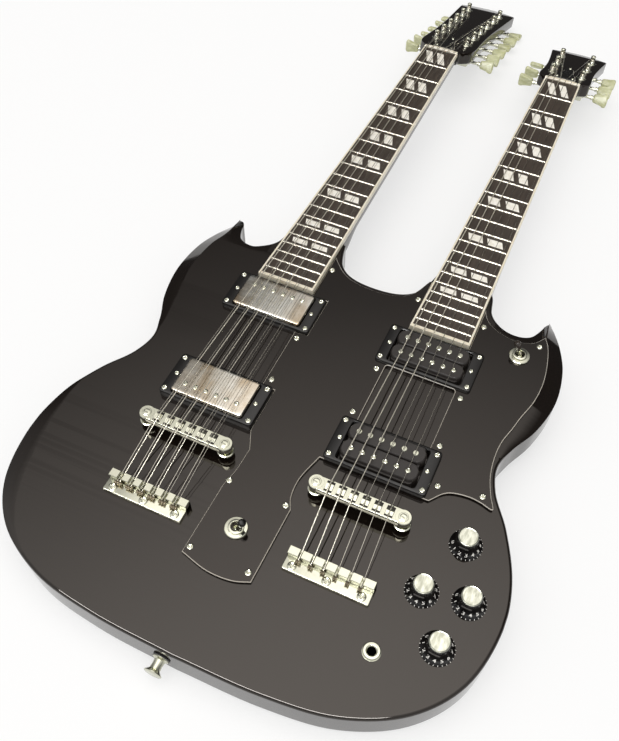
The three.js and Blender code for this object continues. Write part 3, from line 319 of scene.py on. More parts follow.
def carve(crease, edge, drop, side):
    """Cuts a bevel: a face ruled from the crease on the top out and down to the edge. The cutter starts
    2 mm inside the crease, ends 9 mm past the edge and stands 20 mm above the top."""
    way = edge - crease
    run = np.linalg.norm(way, axis=1)[:, None]
    way = way / run
    slope = drop[:, None] / run
    corners = [(-2, 0), (run + 9, 0), (run + 9, 20), (-2, 20)]
    rings = []
    for out, lift in corners:
        height = BODY_THICKNESS - slope * out if lift == 0 else np.full_like(run, BODY_THICKNESS + lift)
        rings.append(np.hstack([(crease + way * out) * [side, 1], height]))
    cutter = formed("carving_cutter", skin(np.stack(rings, 1)), [lacquer])
    cut = body.modifiers.new("carve", "BOOLEAN")
    cut.operation, cut.solver, cut.object = "DIFFERENCE", "EXACT", cutter
    bpy.context.view_layer.objects.active = body
    bpy.ops.object.modifier_apply(modifier=cut.name)
    bpy.data.objects.remove(cutter)


for side in (1, -1):
    for crease, edge, drop in horn_bevels:
        depth = smooth_line([(i, d) for i, d in enumerate(drop)], 16)[:, 1] * HORN_DROP
        carve(smooth_line(of_body(crease), 16), smooth_line(of_body(edge), 16), depth, side)
# The arm bevel's share runs along with its line in hundredths, so that it is spaced like the places.
arm = smooth_line(np.column_stack([of_body(arm_line), [row[2] * 100 for row in arm_line]]), 16)
tangent = np.gradient(arm[:, :2], axis=0)
tangent /= np.linalg.norm(tangent, axis=1)[:, None]
share = np.maximum(arm[:, 2:] / 100, 0.05)
inwards = np.column_stack([tangent[:, 1], -tangent[:, 0]])
carve(arm[:, :2] + inwards * share * ARM_WIDTH, arm[:, :2], share[:, 0] * ARM_DROP, -1)
body.data.set_sharp_from_angle(angle=math.radians(28))
even = body.modifiers.new("even_shading", "WEIGHTED_NORMAL")
even.keep_sharp = True
even.weight = 80

# Control cover
# A black plastic plate let into the back over the control cavity, held by five small screws.
black_plastic = finish("gloss_black_plastic", "black_plastic", "100e0d", 0.16, IOR=1.49)
mottle(black_plastic, 60, 0.12, 0.24, "Roughness", detail=6)
control = of_body([
    (0.6, 0.16), (0.84, 0.16), (0.925, 0.235), (0.94, 0.33), (0.885, 0.415), (0.8, 0.45), (0.7, 0.45),
    (0.6, 0.35),
])
plate = slab(inset(inset(control, -4.0), 0.3), rounded(-0.1, 2.2, 0.5, 0))
piece("control_cover_plate", plate, black_plastic, instead=["control_cover"])

nickel = finish("aged_nickel_plate", "nickel", "c5c5b4", 0.17, 1.0)
mottle(nickel, 140, 0.11, 0.27, "Roughness", detail=5)


def circle(count):
    """Equally spaced angles once round."""
    return np.linspace(0, 2 * np.pi, count, endpoint=False)


def turned(profile, sides=32):
    """A lathe shape: a profile of radius and height swept once round the z axis."""
    profile = np.asarray(profile, float)
    angle = circle(sides)
    rings = np.stack([np.outer(profile[:, 0], np.cos(angle)), np.outer(profile[:, 0], np.sin(angle)),
                      np.repeat(profile[:, 1:], sides, 1)], -1)
    return skin(rings, capped=False)


def screw(radius, height, cross=True):
    """A domed screw head with a cross or a single slot, on z = 0: a lathe shape whose crown is pressed in
    by 0.45 of its height, inside 0.62 of its radius."""
    dome = [(radius * math.cos(a), height * (0.25 + 0.75 * math.sin(a))) for a in np.linspace(0, 1.45, 6)]
    foot = [(0, -0.6), (radius, -0.6), (radius, 0.1)]
    points, faces = turned(foot + dome + [(radius * 0.06, height), (0, height)], 24)
    x, y = abs(points[:, 0]), abs(points[:, 1])
    reach = np.minimum(x, y) < radius * 0.17 if cross else x < radius * 0.2
    press = reach & (np.hypot(x, y) < radius * 0.62) & (points[:, 2] > 0)
    points[press, 2] -= height * 0.45
    return points, faces


holds = inset(control, -0.6)[[0, 1, 3, 5, 7]]
heads = [put(screw(2.6, 1.3), x, y, -0.1, 180, "X") for x, y in holds]
piece("control_cover_screws", heads, nickel)

# Necks
# Each neck is one length of mahogany under the same black lacquer. Its back is a rounded D, it
# thickens into a heel at the body, and the headstock is the same wood, tilted back.
SCALE_LENGTH, NUT_Y, BOARD_LENGTH, BOARD_THICKNESS = 628.65, 790.9, 442.2, 6
NECK_ANGLE, HEAD_PITCH = math.radians(1.43), math.radians(15)
BOARD_RISE, BOARD_NUT, BOARD_END = 2.6, 43, 57.3
NUT_LENGTH, HEAD_HEIGHT, HEAD_THICKNESS, GAP = 5, 4, 15, 0.3
JOINT_ALONG = NUT_Y - BODY_LENGTH * SHOULDER_Y
HEAD_FROM = NUT_LENGTH + 2 * GAP + HEAD_HEIGHT * math.tan(HEAD_PITCH)
HEADS = {
    "12": {"length": 246, "half": 40.3, "posts": 6, "first": 42.6, "pitch": 33.73, "x": 20.5, "spread": 2.5,
           "side": [(0.54, 0), (0.56, 0.022), (0.7, 0.05), (0.85, 0.09), (0.885, 0.144), (0.86, 0.288),
                    (0.85, 0.404), (0.865, 0.53), (0.93, 0.74), (1, 0.962)]},
    "6": {"length": 131, "half": 36.5, "posts": 3, "first": 27, "pitch": 36.5, "x": 18.5, "spread": 1.3,
          "side": [(0.59, 0), (0.61, 0.025), (0.74, 0.055), (0.86, 0.095), (0.875, 0.15), (0.845, 0.29),
                   (0.845, 0.47), (0.907, 0.7), (1, 0.938)]},
}


def glue_height(along):
    """The height of the joint between neck and fretboard: it falls from the body towards the nut."""
    return BODY_THICKNESS + BOARD_RISE - (BOARD_LENGTH - along) * math.tan(NECK_ANGLE)


def board_half(along):
    """Half the fretboard's width, which grows evenly from the nut to the board's end."""
    return (BOARD_NUT + (BOARD_END - BOARD_NUT) * np.asarray(along, float) / BOARD_LENGTH) / 2


NECK_PLACE, HEAD_PLACE = {}, {}
for tag in HEADS:
    lie = at(NECK_X[tag], NUT_Y, glue_height(0)) @ Matrix.Rotation(-NECK_ANGLE, 4, "X")
    NECK_PLACE[tag] = BODY_PLACE @ lie
    HEAD_PLACE[tag] = NECK_PLACE[tag] @ at(0, HEAD_FROM, HEAD_HEIGHT) @ Matrix.Rotation(-HEAD_PITCH, 4, "X")


def neck_shape():
    """Rings of a rounded D along the neck: width follows the board, depth swells smoothly into the heel.
    The swell is the smooth step 3 s^2 - 2 s^3 over 30 mm; past the nut the neck falls over 19 mm."""
    fall_length, heel_from, heel_run, side_height, sides = 19, 322, 30, 2.5, 33
    along = np.concatenate([np.linspace(JOINT_ALONG - 1.2, 300, 26), np.linspace(290, 6, 24),
                            np.linspace(0, -fall_length, 9)])
    half = board_half(np.clip(along, 0, None)) - GAP
    swell = np.clip((along - heel_from) / heel_run, 0, 1)
    swell = swell * swell * (3 - 2 * swell)
    depth = np.interp(along, [-fall_length, 0, 290, 330], [17, 20, 23.5, 24.5])
    depth = depth * (1 - swell) + (glue_height(JOINT_ALONG) - 2 * GAP) * swell
    fall = np.clip(-along / fall_length, 0, 1)
    top = -GAP - fall ** 1.5 * (fall_length * math.sin(HEAD_PITCH) - 2)
    half = half + 2.5 * fall ** 2
    angle = np.linspace(0, np.pi, sides)
    bow = np.sin(angle)[None, :] ** (0.8 - 0.3 * swell[:, None])
    x = half[:, None] * np.sign(np.cos(angle)) * np.abs(np.cos(angle)) ** (1 - 0.25 * swell[:, None])
    z = top[:, None] - side_height - (depth - side_height)[:, None] * bow
    rings = np.stack([x, np.repeat(-along[:, None], sides, 1), z], -1)
    lid = np.stack([np.stack([-half, -along, top], -1), np.stack([half, -along, top], -1)], 1)
    return skin(np.concatenate([rings, lid], 1))


def head_outline(head):
    """One side of the headstock in shares of half width and length, a shallow crown, and the side mirrored.
    The crown is a quadratic Bezier curve between the corners."""
    side = smooth_line(head["side"], 6) * [head["half"], head["length"]]
    x, y = side[-1]
    t = np.linspace(0, 1, 21)[1:-1, None]
    crown = (1 - t) ** 2 * [x, y] + 2 * t * (1 - t) * [0, 2 * head["length"] - y] + t ** 2 * [-x, y]
    return np.vstack([side, crown, side[::-1] * [-1, 1]])


for tag, head in HEADS.items():
    blade = slab(head_outline(head), rounded(-HEAD_THICKNESS, 0, 1.8, 1.0))
    blade = moved(blade, NECK_PLACE[tag].inverted() @ HEAD_PLACE[tag])
    piece(f"neck_wood_{tag}", [neck_shape(), blade], lacquer, place=NECK_PLACE[tag], instead=[f"neck_{tag}"])

# Fretboards
# Rosewood, oiled and dark, with cream celluloid glued round it as binding. Nickel-silver frets are
# pressed into sawn slots, and split blocks of pearl-like plastic are let in flush at eight places.
rosewood = finish("oiled_rosewood", "rosewood", "3c332b", 0.42, IOR=1.48)
mottle(rosewood, 900, "332a23", "453b32", "Base Color", stretch=(1, 0.045, 1), detail=7)
roughen(rosewood, 1600, 0.00006, stretch=(1, 0.03, 1), detail=4)
binding = finish("cream_celluloid", "rosewood", "fffcf2", 0.3, IOR=1.5, Subsurface_Weight=0.1,
                 Subsurface_Radius=(0.002, 0.0015, 0.001))
mottle(binding, 80, "e8dfc8", "efe8d6", "Base Color")
pearl = finish("pearl_like_plastic", "rosewood", "ded8c8", 0.18, IOR=1.5)
mottle(pearl, 500, "f4efe2", "fffcf4", "Base Color", stretch=(1, 0.7, 1), detail=2)
fret_wire = finish("nickel_silver_wire", "nickel", "ded9cc", 0.2, 1.0)
mottle(fret_wire, 500, 0.15, 0.3, "Roughness")
FRETS, FRET_HEIGHT, FRET_HALF, SIDE_BINDING, END_BINDING = 20, 1.1, 1.15, 1.7, 3.2
# Each place: how far from the fret before it the two blocks begin and end, as shares of the space between
# the frets, then their sides on the nut's side as shares of the board's width, and how far they slant.
INLAID = {
    1: (0.18, 0.83, (0.13, 0.315, 0.455, 0.65), 0.2), 3: (0.225, 0.81, (0.14, 0.355, 0.475, 0.69), 0.15),
    5: (0.22, 0.8, (0.16, 0.37, 0.51, 0.7), 0.13), 7: (0.2, 0.8, (0.175, 0.39, 0.51, 0.71), 0.105),
    9: (0.26, 0.77, (0.14, 0.39, 0.52, 0.79), 0.085), 12: (0.28, 0.77, (0.14, 0.42, 0.515, 0.81), 0.065),
    15: (0.31, 0.76, (0.145, 0.43, 0.52, 0.815), 0.045), 17: (0.29, 0.73, (0.145, 0.43, 0.52, 0.815), 0.035),
}


def fret_along(n):
    """A fret's distance from the nut: each fret shortens the string by the twelfth root of two."""
    return SCALE_LENGTH * (1 - 2 ** (-n / 12))


def block(low, high, bevel=0.0):
    """A box between two corners, with its upper edges chamfered."""
    (x0, y0, z0), (x1, y1, z1) = low, high
    levels = [(0, z0), (0, z1 - bevel), (bevel, z1)] if bevel else [(0, z0), (0, z1)]
    return slab([(x0, y0), (x1, y0), (x1, y1), (x0, y1)], levels)


end, nut = board_half(BOARD_LENGTH), board_half(0)
wood_end, wood_nut, wood_foot = end - SIDE_BINDING, nut - SIDE_BINDING, -BOARD_LENGTH + END_BINDING
wood = slab([(-wood_end, wood_foot), (wood_end, wood_foot), (wood_nut, 0), (-wood_nut, 0)],
            [(0, 0), (0, BOARD_THICKNESS)])
rim = np.array([(end, -BOARD_LENGTH), (nut, 0), (wood_nut, 0), (wood_end, wood_foot),
                (-wood_end, wood_foot), (-wood_nut, 0), (-nut, 0), (-end, -BOARD_LENGTH)])
strip = slab(rim, [(0, 0), (0, BOARD_THICKNESS - 0.35), (0, BOARD_THICKNESS + 0.02)])
wires, blocks = [], []
for n in range(1, FRETS + 1):
    y, half = -fret_along(n), board_half(fret_along(n)) - 1.6
    arc = np.linspace(0, np.pi, 9)
    bend = np.array([-half, -half + 0.5, -half + 1.2, half - 1.2, half - 0.5, half])[:, None]
    tall = np.array([0.05, 0.7, 1, 1, 0.7, 0.05])[:, None]
    across = y + FRET_HALF * np.cos(arc)[None, :] * np.ones((6, 1))
    crown = BOARD_THICKNESS - 0.1 + FRET_HEIGHT * np.sin(arc)[None, :] ** 0.8 * tall
    wires.append(skin(np.stack([np.repeat(bend, 9, 1), across, crown], -1)))
for n, (begin, finishes, sides, slant) in INLAID.items():
    before, after = fret_along(n - 1), fret_along(n)
    low, high = before + (after - before) * begin, before + (after - before) * finishes
    for x0, x1 in (sides[:2], sides[2:]):
        corners = [(x0 + slant, high), (x1 + slant, high), (x1, low), (x0, low)]
        blocks.append(slab([((x * 2 - 1) * board_half(y), -y) for x, y in corners],
                           [(0, BOARD_THICKNESS - 0.6), (0, BOARD_THICKNESS + 0.03)]))
for tag, place in NECK_PLACE.items():
    piece(f"rosewood_board_{tag}", wood, rosewood, place=place, instead=[f"fretboard_{tag}"])
    piece(f"board_binding_{tag}", strip, binding, place=place)
    piece(f"fret_wires_{tag}", wires, fret_wire, place=place, sharp=50)
    piece(f"pearl_blocks_{tag}", blocks, pearl, place=place)

# Nuts and strings
# A cream plastic nut is slotted for each string. Thick strings are steel wound with nickel wire, thin
# ones bare steel. Each runs from its ball end over a saddle and the nut, and winds round its post.
STRING_NUT, STRING_BRIDGE, PAIR_NUT, PAIR_BRIDGE = 35.6, 51, 1.9, 2.5
THICK, THIN, OCTAVE_SHARE, PLAIN_SHARE = 0.58, 0.34, 0.72, 0.7
STRING_RISE, AT_SADDLE, POST_RADIUS, AT_POST = 8.1, 18.6, 3.1, 6.4
BRIDGE_Y = NUT_Y - SCALE_LENGTH * math.cos(NECK_ANGLE)
TAIL_Y, TAIL_HEIGHT, TAIL_SLOT, TAIL_LENGTH = 108.8, 9, 4.5, 7
TAIL_X = {"12": NECK_X["12"] - 1.3, "6": NECK_X["6"] + 2.2}
plain_steel = finish("plain_string_steel", "string_steel", "c4bfb3", 0.24, 1.0)
wound_steel = finish("nickel_wound_string", "string_steel", "cdc8ba", 0.3, 1.0)
dull_ball = finish("dull_brass_ball", "string_steel", "7d7462", 0.45, 1.0)
tree = wound_steel.node_tree
where = add(tree, "ShaderNodeTexCoord")
along_string = add(tree, "ShaderNodeSeparateXYZ", {"Vector": where.outputs["UV"]})
# The wrap wire is 0.25 mm in the real string; it is drawn 0.6 mm wide so that it shows.
turns = 1000 / 0.6 * 2 * math.pi
winding = add(tree, "ShaderNodeMath", {0: along_string.outputs["Y"], 1: turns}, operation="MULTIPLY")
wave = add(tree, "ShaderNodeMath", {0: winding.outputs[0]}, operation="SINE")
bump = add(tree, "ShaderNodeBump", {"Height": wave.outputs[0], "Strength": 0.6, "Distance": 0.00008})
tree.links.new(bump.outputs["Normal"], tree.nodes["Principled BSDF"].inputs["Normal"])


def tube(path, radius, sides=8):
    """A round wire along a line of points: each ring stands square to the line, with one radius level."""
    way = np.gradient(path, axis=0)
    way /= np.linalg.norm(way, axis=1)[:, None]
    side = np.cross(way, [0, 0, 1])
    side /= np.linalg.norm(side, axis=1)[:, None]
    up = np.cross(way, side)
    a = circle(sides)[None, :, None]
    return skin(path[:, None] + radius * (side[:, None] * np.cos(a) + up[:, None] * np.sin(a)))


def lay_uv(thing, path, sides=8):
    """Gives a tube its length in metres as the V of its UV map."""
    far = np.concatenate([[0], np.cumsum(np.linalg.norm(np.diff(path, axis=0), axis=1))]) * 0.001
    layer = thing.data.uv_layers.new(name="UVMap")
    corner = np.zeros(len(thing.data.loops), int)
    thing.data.loops.foreach_get("vertex_index", corner)
    v = np.repeat(far, sides)[np.clip(corner, 0, len(far) * sides - 1)]
    layer.data.foreach_set("uv", np.stack([np.zeros(len(v)), v], 1).ravel())


def post_places(head, side):
    """The tuning posts' places on the headstock, from the nut outwards."""
    steps = np.arange(head["posts"])
    out = head["x"] + head["spread"] * steps / (head["posts"] - 1)
    return np.column_stack([side * out, head["first"] + head["pitch"] * steps])


def spread_strings(width, pair):
    """Each string's place across: six courses evenly spread, each one string or a close pair."""
    course = (np.arange(6) / 5 - 0.5) * width
    return course if not pair else (course[:, None] + [-pair / 2, pair / 2]).ravel()


def coil(radius, thick, turns, start_angle, top, sense):
    """A helix down a post: its turns lie against each other, 2.15 radii of the wire apart."""
    a = np.linspace(0, 2 * np.pi * turns, int(16 * turns) + 1)
    at_angle = start_angle + sense * a
    return np.column_stack([radius * np.cos(at_angle), radius * np.sin(at_angle),
                            top - a / (2 * np.pi) * thick * 2.15])


half = BOARD_NUT / 2
crown = [(x * (half - 0.2), 8.05 - 0.7 * x * x) for x in np.linspace(-1, 1, 15)]
profile = [(-half + 0.1, 0)] + crown + [(half - 0.1, 0)]
nut_levels = ((GAP, 0.7), (GAP + 0.5, 0), (GAP + 4, 0.1), (GAP + NUT_LENGTH, 1.0))
nut_bar = skin([[(x, y, max(z - drop, 0)) for x, z in profile] for y, drop in nut_levels])
ball = turned([(0, -1.6), (1.7, -1.6), (1.9, -1.1), (1.2, 0), (1.9, 1.1), (1.7, 1.6), (0, 1.6)], 14)
for tag, pairs in (("12", (PAIR_NUT, PAIR_BRIDGE)), ("6", (0, 0))):
    neck, head = NECK_PLACE[tag], HEADS[tag]
    to_neck = neck.inverted()
    to_head = to_neck @ HEAD_PLACE[tag]
    piece(f"nut_{tag}", nut_bar, binding, place=neck, slot="string_steel")
    nut_x, bridge_x = spread_strings(STRING_NUT, pairs[0]), spread_strings(STRING_BRIDGE, pairs[1])
    posts = np.vstack([post_places(head, -1), post_places(head, 1)[::-1]])
    count = len(nut_x)
    balls = []
    for i, (px, py) in enumerate(posts):
        thick = THICK + (THIN - THICK) * i / (count - 1)
        if tag == "12" and i % 2 == (0 if i < 8 else 1):
            thick *= OCTAVE_SHARE
        wound = (tag == "6" and i < 3) or (tag == "12" and i < 8 and i % 2 == 1)
        thick *= 1 if wound else PLAIN_SHARE
        steel = wound_steel if wound else plain_steel
        x, tail_x = NECK_X[tag] + bridge_x[i], TAIL_X[tag] + bridge_x[i]
        saddle = BODY_THICKNESS + AT_SADDLE + thick
        stops = [(tail_x, TAIL_Y - TAIL_LENGTH - 1.2, BODY_THICKNESS + 6.4),
                 (tail_x, TAIL_Y - 1, BODY_THICKNESS + 7.2),
                 (x, BRIDGE_Y - 1, saddle), (x, BRIDGE_Y + 1, saddle)]
        ends = [np.array((to_neck @ BODY_PLACE @ at(*stop)).translation) for stop in stops]
        ends += [(nut_x[i], GAP + 0.4, STRING_RISE), (nut_x[i], GAP + NUT_LENGTH - 0.6, STRING_RISE - 0.15)]
        start, sense = (0, 1) if px < 0 else (math.pi, -1)
        helix = coil(POST_RADIUS * 0.8 + thick, thick, 3, start, AT_POST, sense) + [px, py, 0]
        helix = moved((helix, []), to_head)[0]
        path = np.vstack([ends, helix[:1]])
        spans = [(a, b, max(2, int(np.linalg.norm(b - a) / 12))) for a, b in zip(path[:-1], path[1:])]
        fine = np.vstack([np.linspace(a, b, steps, endpoint=False) for a, b, steps in spans] + [path[-1:]])
        string = piece(f"string_{tag}_{i + 1}", tube(fine, thick), steel, place=neck, sharp=60,
                       instead=[f"nut_and_strings_{tag}"] if i == 0 else ())
        lay_uv(string, fine)
        post = f"bass_{i + 1}" if px < 0 else f"treble_{count - i}"
        piece(f"winding_{tag}_{i + 1}", tube(helix, thick), steel, place=neck, sharp=60,
              rides=f"tuning_post_6_{post}" if tag == "6" else None)
        balls.append(put(ball, tail_x, TAIL_Y - TAIL_LENGTH - 2.2, BODY_THICKNESS + 5.6, 90, "Y"))
    piece(f"ball_ends_{tag}", balls, dull_ball)

# Tuners
# Die-cast nickel-plated housings sit on a strip behind the headstock. Each holds a worm and its gear,
# a steel post through the wood in a pressed ferrule, and a shaft with a pale green plastic button.
HOUSING_LENGTH, HOUSING_WIDTH, HOUSING_HEIGHT, STRIP_WIDTH = 19, 15, 9.5, 11
WORM_OFFSET, WORM_DEPTH, SHAFT_RADIUS, POST_HEIGHT = 6.5, 5.2, 2, 10.5
BUTTON_CLEAR, BUTTON_LENGTH = 2.5, 17.5
# Each button stays as the last tuning left it, in degrees from lying flat, from the nut outwards.
BUTTON_TURNS = [72, 60, 24, 6, 26, 4]
WORM_Z = -HEAD_THICKNESS - GAP - WORM_DEPTH
aged_plastic = finish("aged_green_plastic", "button_plastic", "cacba0", 0.33, IOR=1.5, Subsurface_Weight=0.25,
                      Subsurface_Radius=(0.004, 0.004, 0.002))
mottle(aged_plastic, 160, "bfc191", "d6d7b2", "Base Color", stretch=(1, 1, 2.5), detail=3)


def round_rect(width, length, corner, centre=(0, 0), steps=6):
    """A rectangle with quarter-circle corners, anticlockwise."""
    a = np.linspace(0, np.pi / 2, steps + 1)
    arc = np.column_stack([np.cos(a), np.sin(a)]) * corner
    parts = []
    for k, (sx, sy) in enumerate(((1, 1), (-1, 1), (-1, -1), (1, -1))):
        c, s = round(math.cos(k * math.pi / 2)), round(math.sin(k * math.pi / 2))
        middle = [sx * (width / 2 - corner), sy * (length / 2 - corner)]
        parts.append(arc @ np.array([[c, s], [-s, c]]) + middle)
    return np.vstack(parts) + centre


def button_shape(side, edge, housing):
    """A keystone button: rings along its shaft, superellipses of power 0.55 that widen outwards, with a
    shaft and collar that reach into the housing."""
    start, t = side * (edge + BUTTON_CLEAR), np.linspace(0, 1, 15)
    x = start + side * BUTTON_LENGTH * t
    wide = np.interp(t, [0, 0.06, 0.55, 0.8, 0.94, 1], [7.2, 10, 13.2, 16.8, 16.4, 13.2]) / 2
    deep = np.interp(t, [0, 0.08, 0.6, 0.93, 1], [4.2, 5.8, 6.6, 6, 4]) / 2
    c, s = [np.sign(v) * np.abs(v) ** 0.55 for v in (np.cos(circle(28)), np.sin(circle(28)))]
    grip = skin(np.stack([np.repeat(x[:, None], 28, 1), wide[:, None] * c, deep[:, None] * s], -1))
    inner = housing + side * (HOUSING_WIDTH / 2 - 2.2)
    length = abs(start - inner)
    shaft = turned([(0, 0), (SHAFT_RADIUS, 0), (SHAFT_RADIUS, length - 3.4), (3, length - 3.2),
                    (3.1, length - 1.2), (2.2, length - 1), (2.2, length + 0.5), (0, length + 0.5)], 20)
    return grip, put(shaft, inner, 0, 0, 90 * side, "Y")


boss = turned([(0, 0), (3.3, 0), (3.3, 1.6), (2.4, 2), (0, 2)], 20)
ferrule = turned([(3.3, -0.5), (5.6, -0.5), (5.6, 0.5), (4.9, 1.1), (3.4, 1.2), (3.3, -0.5)], 28)
waist, foot = POST_RADIUS * 0.8, -HEAD_THICKNESS - 5.2
shank = turned([(0, foot), (POST_RADIUS, foot), (POST_RADIUS, 1.6), (waist, 2.8), (waist, 6.9),
                (POST_RADIUS, 8.1), (POST_RADIUS, 9.8), (POST_RADIUS * 0.7, POST_HEIGHT), (0, POST_HEIGHT)], 24)
top = -HEAD_THICKNESS - GAP
for tag, head in HEADS.items():
    place = HEAD_PLACE[tag]
    for side_name, side in (("bass", -1), ("treble", 1)):
        spots = post_places(head, side)
        (near_x, near_y), (far_x, far_y) = spots[0], spots[-1]
        near_y, far_y = near_y - HOUSING_LENGTH / 2, far_y + HOUSING_LENGTH / 2 + WORM_OFFSET
        strip = [(near_x - STRIP_WIDTH / 2, near_y), (near_x + STRIP_WIDTH / 2, near_y),
                 (far_x + STRIP_WIDTH / 2, far_y), (far_x - STRIP_WIDTH / 2, far_y)]
        parts = [slab(strip, rounded(top - 1.2, top, 0.4, 0))]
        ferrules = []
        for i, (x, y) in enumerate(spots):
            name, worm_y = f"{side_name}_{i + 1}", y + WORM_OFFSET
            shell = round_rect(HOUSING_WIDTH, HOUSING_LENGTH, 2, (x, y + WORM_OFFSET / 2))
            parts.append(slab(shell, rounded(top - HOUSING_HEIGHT, top - 0.6, 1.6, 0)))
            parts.append(put(boss, x + side * (HOUSING_WIDTH / 2 - 0.4), worm_y, WORM_Z, 90 * side, "Y"))
            for e in (-1, 1):
                parts.append(put(screw(1.6, 0.9), x, y + WORM_OFFSET / 2 + e * 11.6, top - 1.2, 180, "X"))
            ferrules.append(moved(ferrule, at(x, y)))
            post = moved(shank, at(x, y))
            if tag == "6":
                node = f"tuning_post_6_{name}"
                piece(f"post_{name}", post, nickel, place=place, rides=node, instead=[node])
            else:
                ferrules.append(post)
            grip, shaft = button_shape(side, head["half"], x)
            node = f"tuner_button_{tag}_{name}"
            lift = place @ at(0, worm_y, WORM_Z) @ turn(side * BUTTON_TURNS[i], "X")
            piece(f"grip_{tag}_{name}", grip, aged_plastic, place=lift, rides=node, instead=[node], sharp=60)
            piece(f"shaft_{tag}_{name}", shaft, nickel, place=lift, rides=node)
        piece(f"housings_{tag}_{side_name}", parts, nickel, place=place,
              instead=[f"tuner_housings_{tag}_{side_name}"])
        piece(f"ferrules_{tag}_{side_name}", ferrules, nickel, place=place)

# Truss-rod covers
# A bell-shaped plate of black plastic with a pale edge ply closes the rod's pocket above each nut.
pale_ply = finish("pale_edge_ply", "black_plastic", "d9d3c4", 0.35, IOR=1.49)
bell = smooth_line([(13, 0), (13, 5.8), (11.2, 14.4), (7.2, 26.4), (5.9, 37.4), (3.6, 45.6), (0, 48)], 6)
bell = np.vstack([bell, bell[::-1][1:] * [-1, 1]])
heads = [moved(screw(1.9, 1), at(x, y, 1.7)) for x, y in ((0, 43.5), (-9.6, 3.4), (9.6, 3.4))]
for tag in HEADS:
    place = HEAD_PLACE[tag] @ at(0, NUT_LENGTH + 1, 0)
    piece(f"rod_cover_edge_{tag}", slab(bell, [(0, 0), (0, 0.9)]), pale_ply, place=place)
    piece(f"rod_cover_{tag}", slab(bell, [(0.45, 0.5), (0.45, 1.2), (0.9, 1.8)]), black_plastic, place=place)
    piece(f"rod_cover_screws_{tag}", heads, nickel, place=place)

# Pickguard
# One sheet of gloss black plastic, 2.4 mm thick with a chamfered edge that catches the light. It lies
# on the body, is cut out round the six-string pickups, and is held by sixteen small screws.
GUARD_THICKNESS, GUARD_CLEAR, PICKUP_Y = 2.4, 0.4, {"neck": 325.1, "bridge": 212.8}
RING_WIDTH, RING_LENGTH, COVER_WIDTH, COVER_LENGTH = 89.3, 44.5, 68.6, 37.8
guard_plastic = finish("gloss_guard_plastic", "black_plastic", "0f0b09", 0.07, IOR=1.49,
                       Specular_Tint=linear("fff6ee"))
mottle(guard_plastic, 14, 0.05, 0.13, "Roughness", detail=8)
guard_edge = finish("chamfered_guard_edge", "black_plastic", "bdb6aa", 0.3, IOR=1.49)
right_edge = [
    (0.500, 0.95), (0.535, 0.924), (0.6, 0.906), (0.688, 0.9), (0.745, 0.911), (0.784, 0.936),
    (0.808, 0.912), (0.831, 0.864), (0.841, 0.812), (0.831, 0.759), (0.803, 0.709), (0.789, 0.678),
    (0.769, 0.64), (0.764, 0.6), (0.775, 0.555), (0.802, 0.515), (0.826, 0.4875), (0.77, 0.493),
    (0.72, 0.4945), (0.645, 0.485), (0.592, 0.455),
]
lobe = [
    (0.138, 0.455), (0.107, 0.393), (0.113, 0.352), (0.134, 0.328), (0.13, 0.17), (0.067, 0.1585),
    (-0.033, 0.156), (-0.153, 0.17), (-0.148, 0.323), (-0.134, 0.361), (-0.129, 0.413),
]
top_edge = [
    (-0.2225, 0.951), (-0.184, 0.9315), (-0.144, 0.918), (-0.104, 0.9105), (-0.01, 0.904), (0.09, 0.91),
    (0.163, 0.932), (0.21, 0.985),
]
# The straight edges: beside the twelve-string rings and board, then round the six-string board's end.
slot_half, ring_edge = BOARD_END / 2 + GUARD_CLEAR, NECK_X["12"] + RING_WIDTH / 2 + GUARD_CLEAR
beside, ring_half, open_half = NECK_X["12"] + slot_half, RING_LENGTH / 2 + GUARD_CLEAR, COVER_WIDTH / 2 + 1.2
board_end = NUT_Y - BOARD_LENGTH * math.cos(NECK_ANGLE) - GUARD_CLEAR
six, waist, upper, lower = NECK_X["6"], -0.225 * BODY_HALF_WIDTH, PICKUP_Y["neck"], PICKUP_Y["bridge"]
guard = np.vstack([
    smooth_line(of_body(right_edge[:6]), 6), smooth_line(of_body(right_edge[5:]), 6)[1:],
    smooth_line(of_body(lobe[:4]), 6), smooth_line(of_body(lobe[4:8]), 6), smooth_line(of_body(lobe[8:]), 6),
    [(ring_edge, lower - ring_half), (ring_edge, lower + ring_half),
     (waist, lower + ring_half + GUARD_CLEAR), (waist, upper - ring_half - GUARD_CLEAR),
     (ring_edge, upper - ring_half), (ring_edge, upper + ring_half),
     (beside, upper + ring_half + GUARD_CLEAR), (beside, 0.962 * BODY_LENGTH)],
    smooth_line(of_body(top_edge), 6),
    [(six - slot_half, 0.985 * BODY_LENGTH + GUARD_CLEAR), (six - slot_half, board_end),
     (six - open_half, board_end), (six - open_half, upper - 20.1), (six + open_half, upper - 20.1),
     (six + open_half, board_end), (six + slot_half, board_end)],
])[::-1]
window_top, window_bottom = upper - ring_half, lower + ring_half
windows = [
    round_rect(2 * open_half, COVER_LENGTH + 2.4, 3, (six, lower)),
    round_rect(2 * open_half - 5.4, window_top - window_bottom, 3, (six, (window_top + window_bottom) / 2)),
]


def drawn(drawing):
    """The points and faces of a curve or a text, as Blender fills and thickens it."""
    thing = linked(drawing.name, drawing)
    made = thing.evaluated_get(bpy.context.evaluated_depsgraph_get()).to_mesh()
    points = np.zeros(len(made.vertices) * 3)
    made.vertices.foreach_get("co", points)
    faces = [list(face.vertices) for face in made.polygons]
    bpy.data.objects.remove(thing)
    return points.reshape(-1, 3), faces


